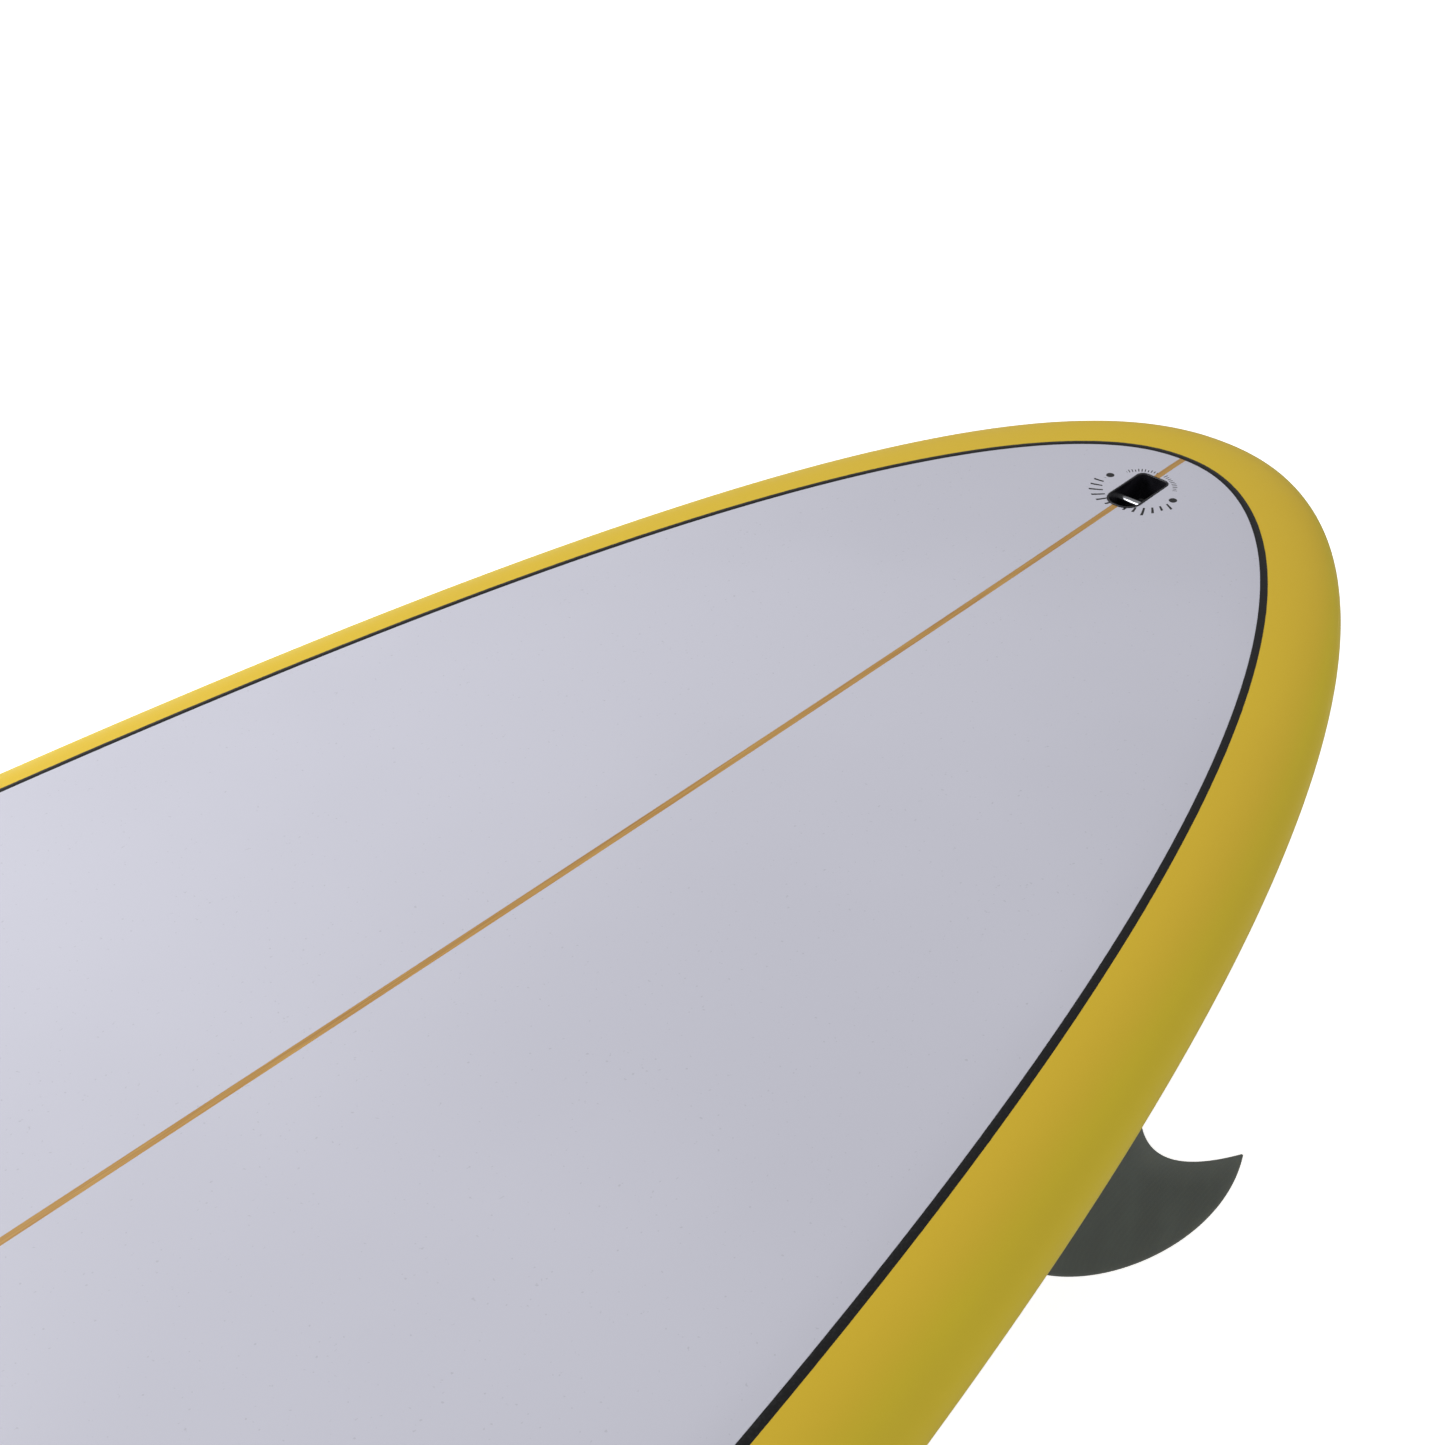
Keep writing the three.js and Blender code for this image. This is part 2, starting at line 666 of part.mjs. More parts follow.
function stringer() {
  const flush = outer.intersect(deckPatch).add(outer.intersect(bellyPatch));
  return coreHull.add(flush).intersect(slab(STRINGER / 2)).subtract(stringerPocket);
}

function deckHalf(side) {
  const half = halfBoard(side, STRINGER / 2 + GAP / 2);
  return shell.intersect(deckPatch).intersect(half).subtract(skinPocket);
}

function deckSkin(side) {
  return deckHalf(side).intersect(block([TAIL_PATCH + GAP, LENGTH], [-WIDTH, WIDTH], [-50, 300]));
}

// Stronger glass round the plug, from the pinline to TAIL_PATCH.
function tailPatch(side) {
  return deckHalf(side).intersect(block([0, TAIL_PATCH], [-WIDTH, WIDTH], [-50, 300]));
}

function bellySkin(side) {
  const half = halfBoard(side, STRINGER / 2 + GAP / 2);
  return shell.intersect(bellyPatch).intersect(half).subtract(skinPocket);
}

function pinline() {
  const ring = region(PINLINE_INSET + GAP / 2).subtract(region(PINLINE_INSET + PINLINE));
  return shell.intersect(upper).intersect(ring);
}

const deckSide = upper.intersect(region(PINLINE_INSET));
const bellySide = region(LAP_INSET).subtract(upper);
const railShell = shell.subtract(deckSide).subtract(bellySide).subtract(skinPocket);

function railBand(side) {
  return railShell.intersect(halfBoard(side, GAP / 2));
}

// ---------------------------------------------------------------- assembly
const WHITE_GLASS = { color: 0xd6d6de, roughness: 0.3 };
const YELLOW_GLASS = { color: 0xc8a53f, roughness: 0.45 };
const BLACK_RESIN = { color: 0x1c1c1e, roughness: 0.4 };
const FOAM = { color: 0xf2f0e8, roughness: 0.95 };
const WOOD = { color: 0xb9895a, roughness: 0.7 };
const BLACK_PLASTIC = { color: 0x161617, roughness: 0.3 };
const STAINLESS = { color: 0xb8babd, roughness: 0.25, metalness: 1 };
const BRASS = { color: 0xb08d4a, roughness: 0.35, metalness: 1 };
const SMOKE_GLASS = { color: 0x4b504a, roughness: 0.4 };

const part = new THREE.Group();
part.name = 'longboard_surfboard';

function addNode(name, body, look) {
  const mesh = new THREE.Mesh(geometryFrom(body), new THREE.MeshStandardMaterial(look));
  mesh.name = name;
  mesh.geometry.computeVertexNormals();
  part.add(mesh);
}

addNode('foam_core_left', foamCore(1), FOAM);
addNode('foam_core_right', foamCore(-1), FOAM);
addNode('stringer', stringer(), WOOD);
addNode('deck_skin_left', deckSkin(1), WHITE_GLASS);
addNode('deck_skin_right', deckSkin(-1), WHITE_GLASS);
addNode('tail_patch_left', tailPatch(1), WHITE_GLASS);
addNode('tail_patch_right', tailPatch(-1), WHITE_GLASS);
addNode('belly_skin_left', bellySkin(1), WHITE_GLASS);
addNode('belly_skin_right', bellySkin(-1), WHITE_GLASS);
addNode('rail_band_left', railBand(1), YELLOW_GLASS);
addNode('rail_band_right', railBand(-1), YELLOW_GLASS);
addNode('pinline', pinline(), BLACK_RESIN);

addNode('leash_plug_cup', placed(leashCup(), plugFrame), BLACK_PLASTIC);
addNode('leash_plug_bar', placed(plugBar(PLUG_BAR_R, 1.3), plugFrame), STAINLESS);

const flush = (body, frame) => placed(body, frame).intersect(outer);
addNode('center_fin_box', flush(centerBox(), centerFrame), BLACK_PLASTIC);
addNode('center_fin', placed(centerFin(), centerFrame), SMOKE_GLASS);
addNode('center_fin_roll_pin', placed(rollPin(), centerFrame), BRASS);
addNode('center_fin_plate_nut', placed(plateNut(), centerFrame), STAINLESS);
addNode('center_fin_screw', placed(finScrew(), centerFrame), STAINLESS);

for (const [name, side] of [['left', 1], ['right', -1]]) {
  const frame = sideFrames[name];
  addNode(`side_fin_box_${name}`, flush(sideBox(), frame), BLACK_PLASTIC);
  addNode(`side_fin_${name}`, placed(sideFin(side), frame), SMOKE_GLASS);
  addNode(`side_fin_set_screw_${name}`, placed(setScrew(), frame), STAINLESS);
}

// Origin: middle of the length, lowest point of the centre fin.
const bounds = new THREE.Box3();
for (const mesh of part.children) {
  mesh.geometry.computeBoundingBox();
  bounds.union(mesh.geometry.boundingBox);
}
for (const mesh of part.children) {
  mesh.geometry.translate(-(bounds.min.x + bounds.max.x) / 2, 0, -bounds.min.z);
}

export default part;
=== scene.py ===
"""Looks of a longboard surfboard: lacquered deck, satin rail, leash plug and a 2+1 fin set.

Everything is in metres, +X towards the nose, +Y to the rider's left, +Z up through the deck.
Board stations are counted from the tail in millimetres, as s = 1000 x + LENGTH / 2.
"""

import json
import logging
import math
from dataclasses import dataclass, field
from enum import Enum
from functools import lru_cache
from typing import Callable, Sequence

import bpy
import numpy as np
from mathutils import Matrix, Vector

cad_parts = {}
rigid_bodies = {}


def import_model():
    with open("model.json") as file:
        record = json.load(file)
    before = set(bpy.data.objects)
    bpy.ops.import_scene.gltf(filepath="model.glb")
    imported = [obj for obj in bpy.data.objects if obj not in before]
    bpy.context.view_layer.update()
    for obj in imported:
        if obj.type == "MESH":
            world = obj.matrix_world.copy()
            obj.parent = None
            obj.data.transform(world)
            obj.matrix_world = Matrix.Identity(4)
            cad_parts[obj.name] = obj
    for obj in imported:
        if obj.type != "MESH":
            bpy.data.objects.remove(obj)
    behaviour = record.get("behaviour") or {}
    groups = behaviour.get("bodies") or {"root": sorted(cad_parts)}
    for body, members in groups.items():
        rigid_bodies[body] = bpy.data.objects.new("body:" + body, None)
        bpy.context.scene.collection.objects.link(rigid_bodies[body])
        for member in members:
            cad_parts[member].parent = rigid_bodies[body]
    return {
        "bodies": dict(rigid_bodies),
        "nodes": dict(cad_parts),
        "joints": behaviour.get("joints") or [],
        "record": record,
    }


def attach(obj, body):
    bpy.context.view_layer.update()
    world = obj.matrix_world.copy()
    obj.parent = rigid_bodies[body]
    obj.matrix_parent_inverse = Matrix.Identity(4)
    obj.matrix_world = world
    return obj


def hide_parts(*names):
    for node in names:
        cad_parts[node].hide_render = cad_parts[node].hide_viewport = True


LOG = logging.getLogger("longboard")
Array = np.ndarray
MM = 0.001
DEEP = 140.0  # both of the hull's roundings have ended this far in, and distances need no care


# ---------------------------------------------------------------- hull formulas
@dataclass(frozen=True)
class Hull:
    """The board's outer shape as formulas. All sizes are millimetres."""

    length: float = 2743.0
    width: float = 593.95
    thick: float = 76.0
    wide_point: float = 0.492 * 2743.0
    tail_fullness: float = 2.5
    tail_round: float = 2.08
    nose_fullness: float = 3.0
    nose_round: float = 2.25
    tail_rocker: float = 61.0
    tail_kick: float = 3.8
    nose_rocker: float = 105.0
    nose_kick: float = 2.7
    tail_edge: float = 15.0
    nose_edge: float = 14.0
    foil_power: float = 3.3
    apex: float = 0.45
    deck_blend: float = 54.0
    belly_blend: float = 73.0
    deck_roll_tail: float = 2.7
    deck_roll_mid: float = 2.2
    belly_roll: float = 2.0
    crown: float = 0.42
    skin: float = 2.0
    lift: float = 144.88907

    def tail_part(self, s: Array) -> Array:
        """How far behind the wide point, 0 to 1: max(0, 1 - s / wide_point)."""
        return np.clip(1 - s / self.wide_point, 0, 1)

    def nose_part(self, s: Array) -> Array:
        """How far ahead of the wide point, 0 to 1."""
        return np.clip((s - self.wide_point) / (self.length - self.wide_point), 0, 1)

    def half_width(self, s: Array) -> Array:
        """Half width: width/2 (1 - t^a)^(1/b) (1 - n^c)^(1/d), t and n the tail and nose parts."""
        tail = (1 - self.tail_part(s) ** self.tail_fullness) ** (1 / self.tail_round)
        nose = (1 - self.nose_part(s) ** self.nose_fullness) ** (1 / self.nose_round)
        return self.width / 2 * tail * nose

    def rocker(self, s: Array) -> Array:
        """Height of the belly's middle: tail t^kick + nose n^kick."""
        tail = self.tail_rocker * self.tail_part(s) ** self.tail_kick
        return tail + self.nose_rocker * self.nose_part(s) ** self.nose_kick

    def thickness(self, s: Array) -> Array:
        """Thickness at the middle: full less what each end loses as the foil power of its part."""
        tail = (self.thick - self.tail_edge) * self.tail_part(s) ** self.foil_power
        nose = (self.thick - self.nose_edge) * self.nose_part(s) ** self.foil_power
        return self.thick - tail - nose

    def rail_height(self, s: Array) -> Array:
        """Height of the rail's widest line: rocker + apex thickness."""
        return self.rocker(s) + self.apex * self.thickness(s)

    def deck_roll(self, s: Array) -> Array:
        """Power of the deck's rounding: mid, going to tail as the larger of the two parts."""
        end = np.maximum(self.tail_part(s), self.nose_part(s))
        return self.deck_roll_mid + (self.deck_roll_tail - self.deck_roll_mid) * end

    def deck_height(self, s: Array, y: Array, inset: Array) -> Array:
        """Deck: rail + (1 - apex) T sqrt(1 - (1 - inset/blend)^p) (1 - crown (2y/width)^2)."""
        near = np.clip(1 - inset / self.deck_blend, 0, 1)
        rise = (1 - self.apex) * self.thickness(s) * np.sqrt(1 - near ** self.deck_roll(s))
        return self.rail_height(s) + rise * (1 - self.crown * (2 * y / self.width) ** 2)

    def belly_height(self, s: Array, y: Array, inset: Array) -> Array:
        """Belly: rail - apex T sqrt(1 - (1 - inset/blend)^p)."""
        near = np.clip(1 - inset / self.belly_blend, 0, 1)
        drop = self.apex * self.thickness(s) * np.sqrt(1 - near**self.belly_roll)
        return self.rail_height(s) - drop

    @lru_cache(maxsize=8)
    def outline(self, count: int) -> tuple[Array, Array]:
        """One side of the plan, tail to nose, evenly spaced along its edge.

        A fine row at s = L/2 (1 - cos a) is measured along the edge, then read back at equal
        distances. Inward normals are the tangent turned a quarter.

        Args:
            count: How many points.
        Returns:
            (count, 2) points as [s, y], and as many inward unit normals.
        """
        angle = np.linspace(0, np.pi, 24001)
        s = self.length / 2 * (1 - np.cos(angle))
        edge = np.stack([s, self.half_width(s)], 1)
        along = np.concatenate([[0], np.cumsum(np.hypot(*np.diff(edge, axis=0).T))])
        at = np.linspace(0, along[-1], count)
        points = np.stack([np.interp(at, along, edge[:, k]) for k in (0, 1)], 1)
        before = np.vstack([points[1] * [1, -1], points[:-1]])
        after = np.vstack([points[1:], points[-2] * [1, -1]])
        tangent = after - before
        tangent /= np.linalg.norm(tangent, axis=1)[:, None]
        return points, np.stack([tangent[:, 1], -tangent[:, 0]], 1)

    def inset_of(self, points: Array) -> Array:
        """Shortest way from plan points (n, 2) to the outline, over its 1200 straight pieces.

        Points well inside, where both roundings have ended, get a plain large value.
        """
        edge = self.outline(1201)[0]
        a, d = edge[:-1], np.diff(edge, axis=0)
        size = (d**2).sum(1)
        s, y = points[:, 0], np.abs(points[:, 1])
        best = np.full(len(points), DEEP + 10)
        wide = self.half_width(np.clip(s, 0, self.length)) - y > DEEP
        deep = wide & (np.abs(s - self.length / 2) < self.length / 2 - DEEP)
        near = np.flatnonzero(~deep)
        for part in np.array_split(near, max(1, len(near) // 3000)):
            p = np.column_stack([s[part], y[part]])[:, None]
            t = np.clip(((p - a) * d).sum(2) / size, 0, 1)
            gap = p - a - t[..., None] * d
            best[part] = np.sqrt((gap**2).sum(2).min(1))
        return best

    def placed(self, s: Array, y: Array, z: Array) -> Array:
        """Board millimetres as row-frame metres."""
        return np.stack([s - self.length / 2, y, z + self.lift], -1) * MM


HULL = Hull()


# ---------------------------------------------------------------- mesh helpers
def make_object(name: str, points: Array, faces: Array, sharp: float = 35.0) -> bpy.types.Object:
    """A smooth-shaded mesh object at the origin.

    Args:
        name: Object and mesh name.
        points: (n, 3) corners in metres.
        faces: (m, 3) or (m, 4) corner numbers; a quad with two equal corners becomes a triangle.
        sharp: Edges turning by more degrees than this stay sharp.
    Returns:
        The new object, linked to the scene.
    """
    mesh = bpy.data.meshes.new(name)
    mesh.from_pydata(points.tolist(), [], [list(dict.fromkeys(f)) for f in faces.tolist()])
    mesh.validate()
    mesh.polygons.foreach_set("use_smooth", np.ones(len(mesh.polygons), bool))
    mesh.set_sharp_from_angle(angle=math.radians(sharp))
    obj = bpy.data.objects.new(name, mesh)
    bpy.context.scene.collection.objects.link(obj)
    return obj


def grid_faces(rows: int, cols: int, wrap: bool, start: int = 0) -> Array:
    """Quads of a rows by cols grid of corners, each [ij, i(j+1), (i+1)(j+1), (i+1)j]."""
    last = cols if wrap else cols - 1
    i, j = np.meshgrid(np.arange(rows - 1), np.arange(last), indexing="ij")
    k = (j + 1) % cols
    near, far = i * cols, (i + 1) * cols
    return start + np.stack([near + j, near + k, far + k, far + j], -1).reshape(-1, 4)


def shell(outer: Array, inner: Array, wrap: bool) -> tuple[Array, Array]:
    """Closed sheet between two equal grids, joined along their open edges.

    Args:
        outer: (rows, cols, 3) outside surface.
        inner: The same for the inside.
        wrap: Whether the last column meets the first.
    Returns:
        Corners and quads.
    """
    rows, cols = outer.shape[:2]
    n = rows * cols
    points = np.concatenate([outer.reshape(-1, 3), inner.reshape(-1, 3)])
    parts = [grid_faces(rows, cols, wrap), grid_faces(rows, cols, wrap, n)[:, ::-1]]
    number = np.arange(n).reshape(rows, cols)
    edges = [number[0], number[-1][::-1]]
    if not wrap:
        edges += [number[:, -1], number[::-1, 0]]
    for edge in edges:
        ring = np.append(edge, edge[0]) if wrap else edge
        a, b = ring[:-1], ring[1:]
        parts.append(np.stack([b, a, a + n, b + n], 1))
    return points, np.concatenate(parts)


def loft(rings: Array) -> tuple[Array, Array]:
    """Closed skin over equal rings (count, n, 3), with a fan over the first and the last."""
    count, n = rings.shape[:2]
    points = np.concatenate([rings.reshape(-1, 3), rings[:1].mean(1), rings[-1:].mean(1)])
    j = np.arange(n)
    k = (j + 1) % n
    low = np.stack([k, j, np.full(n, count * n), np.full(n, count * n)], 1)
    last = (count - 1) * n
    high = np.stack([last + j, last + k, np.full(n, count * n + 1), np.full(n, count * n + 1)], 1)
    return points, np.concatenate([grid_faces(count, n, True), low, high])


def slot_loop(length: float, width: float, tail: float, nose: float, steps: int = 14) -> Array:
    """Rounded plan shape, long in X, counter-clockwise, with its corner radii at each end."""
    quarter = np.linspace(0, np.pi / 2, steps + 1)
    corners = [
        (length / 2 - nose, width / 2 - nose, nose, 0),
        (-length / 2 + tail, width / 2 - tail, tail, 1),
        (-length / 2 + tail, -width / 2 + tail, tail, 2),
        (length / 2 - nose, -width / 2 + nose, nose, 3),
    ]
    arcs = []
    for cx, cy, radius, turn in corners:
        a = quarter + turn * np.pi / 2
        arcs.append(np.stack([cx + radius * np.cos(a), cy + radius * np.sin(a)], 1))
    return np.concatenate(arcs)


def stack(loops: Sequence[tuple[Array, float]]) -> Array:
    """Plan loops with their heights as rings for loft()."""
    return np.stack([np.column_stack([loop, np.full(len(loop), z)]) for loop, z in loops])


def moved(points: Array, frame: Array) -> Array:
    """Local millimetres through a 4x4 frame, then to row metres."""
    at = points @ frame[:3, :3].T + frame[:3, 3]
    return HULL.placed(at[..., 0], at[..., 1], at[..., 2])


def boolean(obj: bpy.types.Object, cutter: bpy.types.Object, operation: str) -> None:
    """Applies one boolean to obj. The cutter is left as it is."""
    modifier = obj.modifiers.new("cut", "BOOLEAN")
    modifier.operation, modifier.solver, modifier.object = operation, "MANIFOLD", cutter
    graph = bpy.context.evaluated_depsgraph_get()
    result = bpy.data.meshes.new_from_object(obj.evaluated_get(graph))
    obj.modifiers.clear()
    old, obj.data = obj.data, result
    name = old.name
    bpy.data.meshes.remove(old)
    result.name = name
    result.set_sharp_from_angle(angle=math.radians(35))


def drop(obj: bpy.types.Object) -> None:
    """Removes a helper object and its mesh."""
    mesh = obj.data
    bpy.data.objects.remove(obj)
    bpy.data.meshes.remove(mesh)


# ---------------------------------------------------------------- node helpers
def linear(hex_code: str) -> tuple[float, float, float, float]:
    """An sRGB hex colour as linear RGBA: ((c + 0.055) / 1.055)^2.4 above 0.04045."""
    parts = [int(hex_code[i : i + 2], 16) / 255 for i in (0, 2, 4)]
    rgb = [c / 12.92 if c <= 0.04045 else ((c + 0.055) / 1.055) ** 2.4 for c in parts]
    return (*rgb, 1.0)


Socket = bpy.types.NodeSocket


@dataclass
class Graph:
    """A material's or world's node tree with short calls for the nodes used here."""

    material: bpy.types.Material | bpy.types.World
    tree: bpy.types.NodeTree = field(init=False)

    def __post_init__(self) -> None:
        self.material.use_nodes = True
        self.tree = self.material.node_tree
        self.tree.nodes.clear()

    def add(self, kind: str, inputs: dict | None = None, **settings: object) -> bpy.types.Node:
        """Adds a node. inputs maps a socket's name or number to a value or another socket."""
        node = self.tree.nodes.new(kind)
        for key, value in settings.items():
            setattr(node, key, value)
        for key, value in (inputs or {}).items():
            if isinstance(value, Socket):
                self.tree.links.new(value, node.inputs[key])
            else:
                node.inputs[key].default_value = value
        return node

    def math(self, operation: str, a: object, b: object = 0.0, c: object = 0.0) -> Socket:
        """A Math node's result."""
        return self.add("ShaderNodeMath", {0: a, 1: b, 2: c}, operation=operation).outputs[0]

    def ramp(
        self, value: Socket, low: float, high: float, to_low: float = 0.0, to_high: float = 1.0
    ) -> Socket:
        """value from low..high to to_low..to_high, smooth and clamped."""
        node = self.add(
            "ShaderNodeMapRange",
            {0: value, 1: low, 2: high, 3: to_low, 4: to_high},
            interpolation_type="SMOOTHSTEP",
        )
        return node.outputs[0]

    def place(self) -> Socket:
        """Object coordinates, metres."""
        return self.add("ShaderNodeTexCoord").outputs["Object"]

    def vector(self, operation: str, a: object, b: object) -> Socket:
        """A Vector Math node's result."""
        return self.add("ShaderNodeVectorMath", {0: a, 1: b}, operation=operation).outputs[0]

    def away(self, x: Socket, y: Socket) -> Socket:
        """Distance sqrt(x^2 + y^2)."""
        squares = self.math("ADD", self.math("MULTIPLY", x, x), self.math("MULTIPLY", y, y))
        return self.math("SQRT", squares)

    def noise(self, size: float, detail: float = 2.0, stretch: tuple = (1, 1, 1)) -> Socket:
        """Noise of about that grain size in millimetres, stretched along the axes."""
        at = self.vector("MULTIPLY", self.place(), tuple(1 / k for k in stretch))
        inputs = {"Vector": at, "Scale": 1 / (size * MM), "Detail": detail, "Roughness": 0.5}
        return self.add("ShaderNodeTexNoise", inputs).outputs["Fac"]

    def mix(self, factor: object, a: object, b: object) -> Socket:
        """Colour a at factor 0 and b at 1."""
        node = self.add("ShaderNodeMix", {0: factor, 6: a, 7: b}, data_type="RGBA")
        return node.outputs[2]

    def bump(self, height: Socket, depth: float) -> Socket:
        """A bump normal of that depth in millimetres."""
        inputs = {"Height": height, "Distance": depth * MM, "Strength": 1.0}
        return self.add("ShaderNodeBump", inputs).outputs[0]

    def surface(self, **sockets: object) -> bpy.types.Node:
        """The Principled shader and the output. Spaces in socket names are written as _."""
        inputs = {key.replace("_", " "): value for key, value in sockets.items()}
        shader = self.add("ShaderNodeBsdfPrincipled", inputs)
        self.add("ShaderNodeOutputMaterial", {"Surface": shader.outputs[0]})
        return shader


# ---------------------------------------------------------------- finishes
class Finish(Enum):
    """Every finish on the board, by the material slot it shows."""

    DECK = "deck_glass"
    BELLY = "belly_glass"
    RAIL = "rail_glass"
    PINLINE = "black_resin"
    WOOD = "wood"
    FOAM = "foam"
    PLASTIC = "black_plastic"
    STEEL = "stainless"
    FIN = "fin_laminate"
    BRASS = "brass"


RING_STATION = 70.5
DOT_OFFSET, DOT_RADIUS = 18.0, 1.85


def ring_marks(g: Graph) -> Socket:
    """Mask of the printed ring round the plug: slanted strokes, fine ticks and two dots.

    In polar form round the ring's centre, a stroke is |frac(n a / 2 pi + slant r) - 1/2| < w
    between two radii that change from cell to cell.
    """
    centre = HULL.placed(np.array(RING_STATION), np.array(0.0), np.array(0.0))
    local = g.vector("SUBTRACT", g.place(), tuple(float(v) for v in centre))
    axes = g.add("ShaderNodeSeparateXYZ", {0: local})
    x, y = axes.outputs[0], axes.outputs[1]
    radius = g.math("MULTIPLY", g.away(x, y), 1 / MM)
    angle = g.math("ARCTAN2", y, x)
    turn = g.math("DIVIDE", angle, 2 * math.pi)

    def strokes(count: float, slant: float, width: float, low: float, high: float, seed: float) -> Socket:
        phase = g.math("ADD", g.math("MULTIPLY_ADD", turn, count, seed), g.math("MULTIPLY", radius, slant))
        cell = g.math("FLOOR", phase)
        off = g.math("ABSOLUTE", g.math("SUBTRACT", g.math("FRACT", phase), 0.5))
        line = g.ramp(off, width, width * 1.35, 1, 0)
        vary = g.add("ShaderNodeTexWhiteNoise", {"W": cell}, noise_dimensions="1D").outputs["Value"]
        top = g.math("MULTIPLY_ADD", vary, -0.45 * (high - low), high)
        inside = g.math("MULTIPLY", g.math("GREATER_THAN", radius, low), g.math("LESS_THAN", radius, top))
        return g.math("MULTIPLY", line, inside)

    ahead = g.math("LESS_THAN", g.math("ABSOLUTE", angle), math.radians(80))
    behind = g.math("GREATER_THAN", g.math("ABSOLUTE", angle), math.radians(118))
    front = strokes(30, 0.05, 0.11, 18.2, 24.8, 0.3)
    back = strokes(64, 0.02, 0.13, 14.6, 17.2, 3.1)
    spot = g.away(x, g.math("SUBTRACT", g.math("ABSOLUTE", y), DOT_OFFSET * MM))
    dots = g.ramp(spot, DOT_RADIUS * MM, (DOT_RADIUS + 0.25) * MM, 1, 0)
    marks = g.math("MAXIMUM", g.math("MULTIPLY", front, ahead), g.math("MULTIPLY", back, behind))
    return g.math("MAXIMUM", marks, dots)


def deck_lacquer(g: Graph) -> None:
    """White sprayed lacquer under gloss resin: cool white with faint dust specks and a slow ripple."""
    cloud = g.noise(240, 3)
    base = g.mix(g.ramp(cloud, 0.35, 0.65), linear("D9D9E6"), linear("D5D5E2"))
    speck = g.ramp(g.noise(1.6, 1.0), 0.71, 0.80)
    dusty = g.mix(g.math("MULTIPLY", speck, 0.22), base, linear("8E8E99"))
    ink = ring_marks(g)
    colour = g.mix(ink, dusty, linear("17171A"))
    ripple = g.bump(g.noise(55, 2), 0.05)
    orange_peel = g.bump(g.noise(3.5, 2), 0.0035)
    rough = g.ramp(g.noise(90, 3), 0.3, 0.7, 0.30, 0.36)
    g.surface(
        Base_Color=colour, Roughness=rough, Specular_IOR_Level=0.35, IOR=1.5,
        Coat_Weight=0.35, Coat_Roughness=0.12, Coat_IOR=1.5, Normal=orange_peel, Coat_Normal=ripple,
    )


def belly_lacquer(g: Graph) -> None:
    """The same white lacquer on the belly, unmarked, with fine scuffs along the board."""
    scuff = g.ramp(g.noise(2.5, 3, (40, 1, 1)), 0.62, 0.75)
    colour = g.mix(g.math("MULTIPLY", scuff, 0.10), linear("D8D8E1"), linear("A9A9B2"))
    rough = g.math("MULTIPLY_ADD", scuff, 0.15, 0.33)
    g.surface(
        Base_Color=colour, Roughness=rough, Specular_IOR_Level=0.35, IOR=1.5,
        Coat_Weight=0.3, Coat_Roughness=0.15, Coat_IOR=1.5, Normal=g.bump(g.noise(3.5, 2), 0.0035),
    )


def rail_lacquer(g: Graph) -> None:
    """Satin mustard-yellow lacquer, with painted light in its colour: warmer on top as painted key light, and
    greener and a little lighter where it turns under as painted bounce from the floor.
    """
    up = g.add("ShaderNodeSeparateXYZ", {0: g.add("ShaderNodeNewGeometry").outputs["Normal"]}).outputs[2]
    # Painted light: the base colour follows the upward part of the surface normal. It is warmer on the top,
    # which faces the key light, and greener on the shoulder and side, in place of light bounced off the
    # floor.
    painted_light_tint = g.mix(g.ramp(up, 0.80, 0.97), linear("EFD636"), linear("ECC93B"))
    cloud = g.ramp(g.noise(120, 3), 0.3, 0.7)
    colour = g.mix(g.math("MULTIPLY", cloud, 0.25), painted_light_tint, linear("E8C040"))
    rough = g.ramp(g.noise(30, 3), 0.3, 0.7, 0.40, 0.47)
    g.surface(
        Base_Color=colour, Roughness=rough, Specular_IOR_Level=0.2, IOR=1.45,
        Coat_Weight=0.05, Coat_Roughness=0.35, Coat_IOR=1.4, Normal=g.bump(g.noise(1.2, 2), 0.006),
    )


def pinline_resin(g: Graph) -> None:
    """Hand-pulled black resin: slightly uneven gloss with fine pits."""
    pits = g.noise(0.9, 3)
    colour = g.mix(g.ramp(pits, 0.45, 0.75), linear("0B0B0D"), linear("1C1C1F"))
    g.surface(
        Base_Color=colour, Roughness=g.ramp(pits, 0.3, 0.7, 0.28, 0.5), Specular_IOR_Level=0.4,
        Normal=g.bump(pits, 0.04),
    )


def stringer_wood(g: Graph) -> None:
    """Sanded light wood seen through clear resin: long tan fibres, darker growth streaks."""
    fibre = g.noise(0.5, 4, (60, 1, 1))
    streak = g.noise(3.0, 3, (90, 1, 1))
    base = g.mix(g.ramp(fibre, 0.3, 0.7), linear("CCA056"), linear("BA8A48"))
    colour = g.mix(g.ramp(streak, 0.5, 0.75, 0.0, 0.45), base, linear("9C6F3F"))
    g.surface(
        Base_Color=colour, Roughness=0.42, Specular_IOR_Level=0.35, Coat_Weight=0.3,
        Coat_Roughness=0.15, Normal=g.bump(fibre, 0.02),
    )


def foam(g: Graph) -> None:
    """Expanded foam core: matte off-white with closed cells about a millimetre across."""
    cells = g.add("ShaderNodeTexVoronoi", {"Vector": g.place(), "Scale": 900.0}).outputs["Distance"]
    colour = g.mix(g.ramp(cells, 0.1, 0.8), linear("E6E3D8"), linear("F4F2EA"))
    g.surface(Base_Color=colour, Roughness=0.92, Specular_IOR_Level=0.2, Normal=g.bump(cells, 0.2))


def black_plastic(g: Graph) -> None:
    """Injection-moulded black nylon: fine eggshell grain with a soft gloss."""
    grain = g.noise(0.35, 2)
    colour = g.mix(g.ramp(g.noise(6, 3), 0.4, 0.7), linear("17161B"), linear("222127"))
    rough = g.ramp(grain, 0.3, 0.7, 0.24, 0.34)
    g.surface(Base_Color=colour, Roughness=rough, Specular_IOR_Level=0.5, Normal=g.bump(grain, 0.012))


